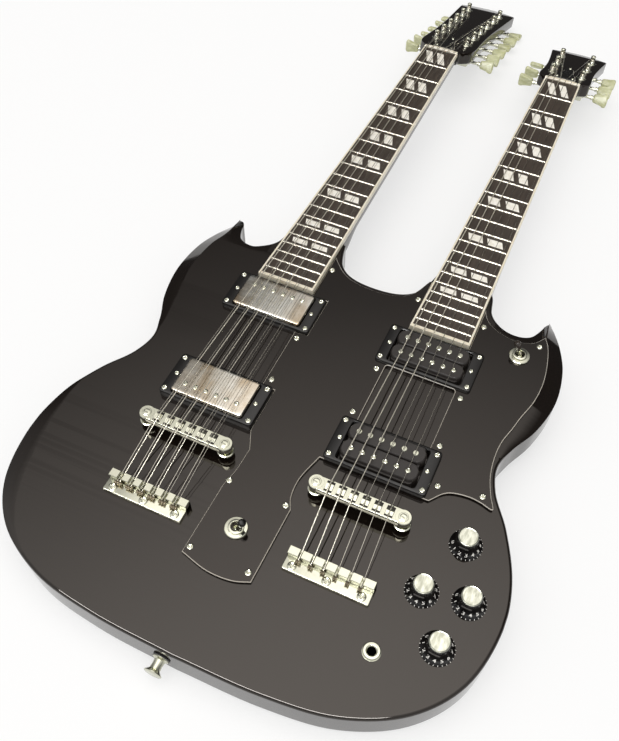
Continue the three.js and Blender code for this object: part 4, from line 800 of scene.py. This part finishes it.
def cut_sheet(outlines, low, high, chamfer):
    """A flat sheet with holes: anticlockwise outlines filled between, thickened, and chamfered all round."""
    drawing = bpy.data.curves.new("cut_sheet", "CURVE")
    drawing.dimensions, drawing.fill_mode = "2D", "BOTH"
    for i, line in enumerate(outlines):
        line = inset(line, -chamfer if i else chamfer)
        spline = drawing.splines.new("POLY")
        spline.points.add(len(line) - 1)
        spline.points.foreach_set("co", np.column_stack([raised(line, 0), np.ones(len(line))]).ravel())
        spline.use_cyclic_u = True
    drawing.extrude, drawing.bevel_depth, drawing.bevel_resolution = (high - low) / 2 - chamfer, chamfer, 0
    points, faces = drawn(drawing)
    return points + [0, 0, (low + high) / 2], faces


# The visible sheet stands 0.2 mm proud of the solid one. Its slanting faces are the pale chamfer.
base = BODY_THICKNESS + 0.05
guard_top = base + GUARD_THICKNESS + 0.2
sheet = piece("pickguard_sheet", cut_sheet([guard, *windows], base, guard_top, 0.55),
              guard_plastic, guard_edge, instead=["pickguard"], sharp=20)
tilt = np.zeros(len(sheet.data.polygons) * 3)
sheet.data.polygons.foreach_get("normal", tilt)
level = tilt.reshape(-1, 3) @ np.array(BODY_PLACE)[:3, 2]
sheet.data.polygons.foreach_set("material_index", ((level > 0.3) & (level < 0.95)).astype(int))
fixings = [(37, 294.5), (115, 295.5), (36, 243.5), (115, 242.5), (126, 206.5), (162, 212.5), (109, 380.5),
           (42, 386.5), (-47, 386.5), (162, 379.5), (-42, 295.5), (-42, 244.5), (-28, 140.5), (23, 139.5),
           (-28, 77.5), (22, 77.5)]
heads = [put(screw(2.8, 1.2), x, y, guard_top, i * 37, "Z") for i, (x, y) in enumerate(fixings)]
piece("pickguard_screws", heads, nickel)

# Pickups and rings
# Each pickup hangs in a black plastic ring by two long screws. The twelve-string pair has polished
# nickel covers with six screw poles; the six-string pair shows its black bobbins and twelve poles.
satin_plastic = finish("moulded_ring_plastic", "black_plastic", "12100f", 0.3, IOR=1.49)
roughen(satin_plastic, 900, 0.00002)
bobbin_plastic = finish("moulded_bobbin_plastic", "black_plastic", "26211e", 0.38, IOR=1.49)
roughen(bobbin_plastic, 700, 0.00003)
cover_metal = finish("worn_nickel_cover", "pickup_cover", "cbc5b9", 0.2, 1.0)
mottle(cover_metal, 38, "b5a48b", "dedcd4", "Base Color", stretch=(1, 0.7, 1), detail=4)
mottle(cover_metal, 300, 0.12, 0.26, "Roughness", stretch=(0.15, 1.6, 1), detail=6)
roughen(cover_metal, 60, 0.0001, detail=2)
RING_TOPS, COVER_TOPS = {"neck": 5.6, "bridge": 7.6}, {"neck": 8.4, "bridge": 11}
BOBBIN_TOPS = {"neck": 10.8, "bridge": 13.8}
POLE_PITCH, COIL_OFFSET, RING_SCREW_X, RING_SCREW_Y, HEIGHT_SCREW_X = 9.94, 8.7, 40.7, 17.8, 38.6
fixings = [(sx * RING_SCREW_X, sy * RING_SCREW_Y) for sx in (-1, 1) for sy in (-1, 1)]
fixings += [(-HEIGHT_SCREW_X, 0), (HEIGHT_SCREW_X, 0)]
rod_pole = turned([(0, -1), (2.4, -1), (2.4, 0.8), (2.1, 1.1), (0, 1.15)], 24)
for tag in HEADS:
    for spot, y in PICKUP_Y.items():
        centre_x, centre = NECK_X[tag], (NECK_X[tag], y)
        foot = BODY_THICKNESS + 0.1 if tag == "12" else guard_top
        high = BODY_THICKNESS + RING_TOPS[spot]
        outside = round_rect(RING_WIDTH, RING_LENGTH, 3, centre)
        inside = round_rect(COVER_WIDTH + 0.8, COVER_LENGTH + 0.8, 2.5, centre)
        rings = stacked([
            (outside, 0, foot), (outside, 0, high - 1.2), (outside, 0.35, high - 0.4), (outside, 1.2, high),
            (inside, -0.6, high), (inside, 0, high - 0.6), (inside, 0, foot),
        ])
        piece(f"ring_{tag}_{spot}", skin(rings, looped=True), satin_plastic,
              instead=[f"pickup_ring_{tag}_{spot}"])
        heads = [put(screw(2.5 if k < 4 else 2.1, 1), centre_x + x, y + dy, high, k * 31, "Z")
                 for k, (x, dy) in enumerate(fixings)]
        piece(f"ring_screws_{tag}_{spot}", heads, nickel)
        poles_x = [centre_x + (i - 2.5) * POLE_PITCH for i in range(6)]
        if tag == "12":
            top = BODY_THICKNESS + COVER_TOPS[spot]
            levels = rounded(BODY_THICKNESS - 4, top, 0, 1.5, 5)
            cover = slab(round_rect(COVER_WIDTH, COVER_LENGTH, 3, centre), levels)
            piece(f"cover_{spot}", cover, cover_metal, instead=[f"pickup_12_{spot}"])
            pole_y = y + (COIL_OFFSET if spot == "neck" else -COIL_OFFSET)
            poles = [put(screw(2.3, 0.9, cross=False), x, pole_y, top - 0.05, 20 + i * 50, "Z")
                     for i, x in enumerate(poles_x)]
            piece(f"cover_poles_{spot}", poles, nickel)
        else:
            top = BODY_THICKNESS + BOBBIN_TOPS[spot]
            bobbins, poles = [], []
            for row in (-1, 1):
                line = round_rect(67.5, 17, 7.5, (centre_x, y + row * COIL_OFFSET), 8)
                levels = [(0, BODY_THICKNESS - 5), (0, top - 3.2), (0.5, top - 1.9), (1.2, top - 1.1)]
                bobbins.append(slab(line, levels))
                for i, x in enumerate(poles_x):
                    pole = screw(2.5, 1.2, cross=False) if row < 0 else rod_pole
                    poles.append(put(pole, x, y + row * COIL_OFFSET, top - 1.2, i * 40, "Z"))
            bobbins.append(slab(round_rect(62, 37, 3, centre), [(0, BODY_THICKNESS - 8), (0, top - 4.5)]))
            piece(f"bobbins_{spot}", bobbins, bobbin_plastic, instead=[f"pickup_6_{spot}"])
            piece(f"bobbin_poles_{spot}", poles, nickel)

# Bridges
# A cast bar stands on two threaded posts with thumbwheels, and holds six saddles between the heads of
# their screws. All of it is nickel plated.
# The dark blocks sunk under the saddles are painted shade: they stand for the shadow in the bar's saddle slots,
# which are nickel like the rest.
slot_shade_paint = finish("shadowed_slot", "nickel", "241f1b", 0.6, 0.4)
EAR_X, BRIDGE_POST_X, BAR_TOP, WHEEL_RADIUS, KNURLS = 36.6, 36.75, 16.2, 7.2, 72
ear = turned([(0, -5.8), (6.5, -5.8), (6.6, -5.4), (6.6, -0.5), (6.2, 0.1), (0, 0.1)], 40)
stud = turned([(0, -16), (2.6, -16), (2.6, 16), (4, 16), (4, 16.6), (3.7, 16.8), (0, 16.8)], 24)
rim = np.column_stack([np.cos(circle(KNURLS)), np.sin(circle(KNURLS))])
knurl = WHEEL_RADIUS - 0.22 * (np.arange(KNURLS) % 2)
wheel = skin([raised(rim * (knurl - d)[:, None], z) for d, z in ((0.8, 4), (0, 4.6), (0, 6.1), (0.8, 6.6))])
saddle_rod = turned([(0, 0), (0.75, 0), (0.75, 7.5), (0, 7.5)], 12)
saddle_head = turned([(0, 0), (1.9, 0), (1.9, 1), (1.4, 1.4), (0, 1.4)], 18)
for tag, middle_x in NECK_X.items():
    top = BODY_THICKNESS + BAR_TOP
    bar = round_rect(86, 12.5, 6.2, (middle_x, BRIDGE_Y), 8)
    parts = [slab(bar, [(0.4, top - 6.2), (0, top - 5.8), (0, top - 0.6), (0.2, top - 0.2), (0.5, top)])]
    parts += [moved(ear, at(middle_x + side * EAR_X, BRIDGE_Y, top)) for side in (-1, 1)]
    slot_shades, bits = [], []
    for side in (-1, 1):
        stand = at(middle_x + side * BRIDGE_POST_X, BRIDGE_Y, BODY_THICKNESS)
        slotted = put(screw(2.9, 0.4, cross=False), 0, 0, 16.7, 70, "Z")
        parts += [moved(stud, stand), moved(wheel, stand), moved(slotted, stand)]
    for i, x in enumerate(middle_x + spread_strings(STRING_BRIDGE, 0)):
        slot_shades.append(block((x - 3.4, BRIDGE_Y - 4.8, top - 0.6), (x + 3.4, BRIDGE_Y + 4.8, top + 0.04)))
        knife = BRIDGE_Y + 1.1 - 0.35 * (i - 2.5)
        wedge = [(BRIDGE_Y - 3.2, top), (BRIDGE_Y + 3.2, top), (knife, top + 1.35), (knife - 0.7, top + 1.35)]
        bits.append(skin([[(x + s, y, z) for y, z in wedge] for s in (-3.1, 3.1)]))
        bits.append(put(saddle_rod, x, BRIDGE_Y - 4.4, top + 0.25, -90, "X"))
        bits.append(put(saddle_head, x, BRIDGE_Y + 4.5, top - 1, -90, "X"))
    piece(f"bridge_bar_{tag}", parts, nickel, instead=[f"bridge_{tag}"])
    piece(f"bridge_wells_{tag}", slot_shades, slot_shade_paint)
    piece(f"bridge_saddles_{tag}", bits, nickel)

# Tailpieces
# A folded nickel-plated plate: a flange with three screws, a dark step, and a raised lip that is
# slotted for the strings, whose ball ends sit behind it.
TAIL_HALF, FLANGE_LENGTH, FLANGE_THICKNESS = 35.5, 12.4, 3
for tag, pair in (("12", PAIR_BRIDGE), ("6", 0)):
    x0, foot = TAIL_X[tag], BODY_THICKNESS + 0.2
    left, right, back, front = x0 - TAIL_HALF, x0 + TAIL_HALF, TAIL_Y - TAIL_LENGTH, TAIL_Y - 0.2
    gaps = np.sort(spread_strings(STRING_BRIDGE, pair))
    cut = 0.65 if pair else 0.9
    slots = np.column_stack([gaps - cut, gaps + cut]).ravel()
    edges = np.concatenate([[-TAIL_HALF], slots, [TAIL_HALF]]).reshape(-1, 2)
    parts = [block((x0 + a, back, foot), (x0 + b, front, foot + TAIL_HEIGHT), 0.4) for a, b in edges]
    parts.append(block((left, front - 1.7, foot), (right, front - 0.1, foot + TAIL_HEIGHT - 2.2)))
    parts.append(block((left, back, foot), (right, front, foot + TAIL_HEIGHT - TAIL_SLOT)))
    flange = round_rect(2 * TAIL_HALF, FLANGE_LENGTH, 1.2, (x0, back - 4.2))
    parts.append(slab(flange, rounded(foot, foot + FLANGE_THICKNESS, 0, 0.5)))
    piece(f"tailpiece_plate_{tag}", parts, nickel, instead=[f"tailpiece_{tag}"])
    heads = [put(screw(3.7, 1.5), x0 + x, back - 6.2, foot + FLANGE_THICKNESS, x * 3, "Z")
             for x in (-28.5, 0, 28.5)]
    piece(f"tailpiece_screws_{tag}", heads, nickel)

# Control knobs
# Moulded black knobs with a flared skirt that carries white numbers, and a flat pressed metal cap.
# Each is pushed onto its potentiometer's shaft, and stands where it was left, in degrees of its zero.
knob_black = finish("moulded_knob_plastic", "black_plastic", "0c0a0a", 0.14, IOR=1.5)
white_ink = finish("white_filled_number", "black_plastic", "f4f2ec", 0.5)
cap_metal = finish("brushed_knob_cap", "nickel", "bfc0b1", 0.3, 1.0)
mottle(cap_metal, 420, "a3a495", "d3d4c6", "Base Color", stretch=(1, 0.3, 1), detail=3)
roughen(cap_metal, 1500, 0.00001, stretch=(1, 0.05, 1))
KNOBS = [(163, 168.5, 200), (145, 119.5, 150), (180, 125.5, 175), (170, 84.5, 160)]
FIGURES, FIGURE_STEP, FIGURE_SIZE, FIGURE_Z, TICK_Z = 11, 29, 4.7, 3.9, 1.1


def skirt_radius(z):
    """The knob's outside: a flare that narrows with the 2.3rd power of the height left to the cap."""
    return 8.25 + 4.7 * np.clip(1 - (z - 0.8) / 11.5, 0, 1) ** 2.3


figures = []
for n in range(FIGURES):
    words = bpy.data.curves.new("figure", "FONT")
    words.body, words.size, words.align_x, words.align_y = str(n), FIGURE_SIZE, "CENTER", "CENTER"
    words.extrude, words.offset = 0.03, 0.12
    figures.append(drawn(words))
z = np.linspace(0.8, 13.4, 18)
socket = [(0, 8.5), (3.3, 8.5), (3.3, 3.1), (6.6, 3.1), (6.6, 0.6), (12.4, 0.6)]
knob = turned(socket + list(zip(skirt_radius(z), z)) + [(7.9, 13.9), (0, 13.9)], 64)
cap = turned([(0, 13.8), (7.75, 13.8), (7.75, 14.9), (7.3, 15.3), (6.9, 15.05), (0, 15.05)], 48)
slope = math.atan2(skirt_radius(FIGURE_Z - 0.5) - skirt_radius(FIGURE_Z + 0.5), 1.0)
stand = at(skirt_radius(FIGURE_Z) + 0.02, 0, FIGURE_Z) @ Matrix.Rotation(-slope, 4, "Y")
stand = stand @ turn(90, "Y") @ turn(90, "Z")
low = at(skirt_radius(TICK_Z) + 0.03, 0, TICK_Z) @ Matrix.Rotation(-0.9, 4, "Y")
dash = block((-0.03, -0.2, -0.7), (0.03, 0.2, 0.6))
for k, (x, y, zero) in enumerate(KNOBS, 1):
    place, node = at(x, y, BODY_THICKNESS), f"control_knob_{k}"
    piece(f"knob_{k}", moved(knob, place), knob_black, rides=node, instead=[node])
    piece(f"knob_cap_{k}", moved(cap, place), cap_metal, rides=node)
    marks = []
    for n, figure in enumerate(figures):
        around = math.radians(zero + n * FIGURE_STEP)
        marks.append(moved(figure, place @ Matrix.Rotation(around, 4, "Z") @ stand))
        for half_step in (0, 1):
            tick = around + half_step * math.radians(FIGURE_STEP / 2)
            marks.append(moved(dash, place @ Matrix.Rotation(tick, 4, "Z") @ low))
    piece(f"knob_numbers_{k}", marks, white_ink, rides=node)

# Toggle switches
# Each has a flat nickel ring nut on a threaded bush, and a steel lever that tips in it. The lower lever
# has a black plastic tip and the upper one a smoky one.
black_tip = finish("black_lever_tip", "black_plastic", "0e0c0b", 0.12, IOR=1.5)
smoky_tip = finish("smoky_lever_tip", "black_plastic", "37302b", 0.2, IOR=1.5)
TOGGLE_LEAN, seat = 20, GUARD_THICKNESS + 0.6
bush = together(
    turned([(4.3, -3), (6, -3), (6, seat), (9.4, seat), (9.4, seat + 1.0), (8.9, seat + 1.5),
            (6.6, seat + 1.7), (6.3, seat + 3.1), (5.6, seat + 3.4), (4.5, seat + 3.4), (4.3, seat + 3.1),
            (4.3, -3)], 40),
    turned([(0, -4.6), (4.25, -4.6), (4.25, -4.2), (0, -4.2)], 20))
rod = turned([(0, -3.9), (2.6, -2.9), (3.8, -0.6), (3.4, 1.8), (1.6, 3.6), (1.5, 11), (0, 11)], 24)
tip = turned([(0, 9.6), (1.9, 9.6), (2.3, 10.2), (2.7, 13), (3.2, 15.4), (3.15, 17.2), (2.4, 18.5),
              (1.2, 18.95), (0, 19)], 28)
SWITCHES = {"lower": (-3.2, 105.5, 8, black_tip), "upper": (148.2, 361.4, 153, smoky_tip)}
for name, (x, y, heading, plastic) in SWITCHES.items():
    stand, node = at(x, y, BODY_THICKNESS) @ turn(heading, "Z"), f"{name}_toggle_lever"
    swing = stand @ turn(TOGGLE_LEAN, "Y")
    piece(f"{name}_switch_bush", moved(bush, stand), nickel, instead=[f"{name}_toggle_switch"])
    piece(f"{name}_lever_rod", moved(rod, swing), nickel, rides=node, instead=[node])
    piece(f"{name}_lever_tip", moved(tip, swing), plastic, rides=node)

# Output jack
# A threaded nickel socket held by a round nut on a washer; its dark bore takes the plug.
jack = turned([(3.4, -18), (4.7, -18), (4.7, 0.1), (7.1, 0.1), (7.1, 0.7), (6.6, 0.9), (6.5, 1.9), (6.0, 2.4),
               (4.4, 2.5), (3.9, 2.2), (3.4, 1.6), (3.4, -18)], 40)
place = at(128.2, 62.6, BODY_THICKNESS)
piece("jack_socket", moved(jack, place), nickel, instead=["output_jack"])
# The bore is filled by a matt black plug without reflection: painted shade for the dark inside of the hole.
bore_shade_paint = finish("unlit_bore", "black_plastic", "040404", 0.9, Specular_IOR_Level=0.0)
piece("jack_bore", moved(turned([(0, -4), (3.55, -4), (3.55, 0.9), (0, 0.9)], 24), place), bore_shade_paint)

# Strap buttons
# Turned and nickel plated, each on a disc of black felt: one in the butt, one on the back by the heel.
felt = finish("black_wool_felt", "black_plastic", "1c1a19", 0.95, Sheen_Weight=0.4)
roughen(felt, 1800, 0.0002, detail=6)
button = turned([(0, 0.8), (6.4, 0.8), (6.4, 1.5), (4.3, 2.6), (4.0, 6), (4.3, 9.6), (6.0, 11.2), (7.1, 12),
                 (7.2, 12.6), (6.6, 13.0), (3, 13.2), (0, 13.2)], 40)
washer = turned([(0, 0.05), (7.1, 0.05), (7.1, 0.9), (0, 0.9)], 32)
butt, heel = at(-10, 0, BODY_THICKNESS / 2) @ turn(90, "X"), at(12, 366, 0.1) @ turn(180, "X")
for name, place, instead in (("butt", butt, ["strap_button"]), ("heel", heel, ())):
    piece(f"strap_button_{name}", moved(button, place), nickel, instead=instead)
    piece(f"strap_felt_{name}", moved(washer, place), felt)
piece("strap_screw_heel", put(screw(2.6, 0.9), 12, 366, -12.9, 180, "X"), nickel)

# Potentiometers
# The four stand on one plated sheet in the cavity, out of sight; the CAD solid stays and gets its metal.
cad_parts["pot_plate"].data.materials.clear()
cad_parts["pot_plate"].data.materials.append(nickel)

# Studio
# A pale floor under one wide soft sky. The sky is brightest overhead and dim low in front of the
# headstocks, and the polished black mirrors that as the slow fall from brown-grey to black.
floor_paint = finish("white_floor", None, "fafbfb", 0.7)
paper = floor_paint.node_tree
ray = add(paper, "ShaderNodeLightPath")
direct = add(paper, "ShaderNodeMath", {0: ray.outputs["Is Camera Ray"], 1: ray.outputs["Is Glossy Ray"]},
             operation="MAXIMUM")
seen = add(paper, "ShaderNodeMath", {0: direct.outputs[0], 1: ray.outputs["Is Transmission Ray"]},
           operation="MAXIMUM")
glow = add(paper, "ShaderNodeMath", {0: seen.outputs[0], 1: 0.6}, operation="MULTIPLY")
white = add(paper, "ShaderNodeEmission", {"Strength": 1.0})
matt = paper.nodes["Principled BSDF"]
lit = add(paper, "ShaderNodeMixShader", {0: glow.outputs[0], 1: matt.outputs[0], 2: white.outputs[0]})
paper.links.new(lit.outputs[0], paper.nodes["Material Output"].inputs["Surface"])
# The far floor only shows to the camera, so that the lacquer mirrors the dim sky there.
for name, wide, near, far in (("floor", 5, -5, 0.77), ("far_floor", 30, 0.77, 40)):
    mesh = bpy.data.meshes.new(name)
    mesh.from_pydata([(-wide, near, 0), (wide, near, 0), (wide, far, 0), (-wide, far, 0)], [], [(0, 1, 2, 3)])
    mesh.materials.append(floor_paint)
    floor = linked(name, mesh)
    floor.location.z = -0.0005
    for ray_kind in ("diffuse", "glossy", "transmission", "shadow") if name == "far_floor" else ():
        setattr(floor, f"visible_{ray_kind}", False)

world = bpy.data.worlds.new("studio")
bpy.context.scene.world = world
world.use_nodes = True
sky = world.node_tree
direction = add(sky, "ShaderNodeTexCoord")
parts = add(sky, "ShaderNodeSeparateXYZ", {"Vector": direction.outputs["Generated"]})


def rising(stops):
    """The sky's light by height: a ramp over the sine of the elevation, from the horizon to overhead. Each
    stop is a height, a light and a warmth, which is the share taken from blue, and half from green."""
    ramp = add(sky, "ShaderNodeValToRGB", {"Fac": parts.outputs["Z"]})
    while len(ramp.color_ramp.elements) < len(stops):
        ramp.color_ramp.elements.new(0.5)
    for element, (place, light, warmth) in zip(ramp.color_ramp.elements, stops):
        element.position = place
        element.color = (light / 3, light / 3 * (1 - 0.5 * warmth), light / 3 * (1 - warmth), 1)
    return ramp.outputs["Color"]


front = rising([(0, 0.05, 0), (0.5, 0.09, 0), (0.7, 0.13, 0), (0.79, 0.55, 0.04), (0.87, 1.3, 0.06),
                (0.94, 2.1, 0.06), (1, 2.7, 0.06)])
around = rising([(0, 0.5, 0), (0.5, 0.8, 0), (0.8, 1.15, 0.02), (0.9, 1.7, 0.04), (1, 2.7, 0.06)])
ahead = add(sky, "ShaderNodeMapRange", {"Value": parts.outputs["Y"], "From Min": 0.0, "From Max": 0.35})
blend = add(sky, "ShaderNodeMix", {"Factor": ahead.outputs[0]}, data_type="RGBA")
for light, colour in zip((around, front), [each for each in blend.inputs if each.type == "RGBA"]):
    sky.links.new(light, colour)
sky.links.new(blend.outputs[2], sky.nodes["Background"].inputs["Color"])
sky.nodes["Background"].inputs["Strength"].default_value = 3.0

# One wide lamp behind the camera, which only glosses show, draws the bright line along rounded edges.
lamp = bpy.data.lights.new("edge_light", "AREA")
lamp.shape, lamp.size, lamp.size_y, lamp.energy = "RECTANGLE", 2.6, 0.5, 90
light = linked("edge_light", lamp)
light.matrix_world = at(-0.1, -1.9, 1.7) @ turn(52, "X")
light.visible_diffuse = False
light.visible_camera = False

# The camera stands low over the butt, a little to the six-string side, and looks along the necks. It was
# fitted to the frets: its focal length and the middle of its picture are in pixels.
eye = (167.4, -125.0, 624.6)
forward = np.array([-0.2418, 0.5416, -0.8051])
across = np.array([0.9086, 0.4176, 0.0080])
FOCAL, MIDDLE_X, PICTURE_WIDTH, PICTURE_HEIGHT = 824.566, 318.06, 619, 741
forward /= np.linalg.norm(forward)
across -= forward * (across @ forward)
across /= np.linalg.norm(across)
upward = np.cross(across, forward)
look = Matrix(np.vstack([np.column_stack([across, upward, -forward, eye]), [0, 0, 0, 1]]).tolist())
lens = bpy.data.cameras.new("camera")
lens.sensor_width, lens.lens = 36, FOCAL * 36 / PICTURE_HEIGHT
lens.shift_x = (PICTURE_WIDTH / 2 - MIDDLE_X) / PICTURE_HEIGHT
lens.clip_start = 0.01
camera = linked("camera", lens)
standing = BODY_PLACE @ look
camera.matrix_world = at(*(standing.translation * 0.001)) @ standing.to_quaternion().to_matrix().to_4x4()
bpy.context.scene.camera = camera
bpy.context.scene.view_settings.view_transform = "Standard"
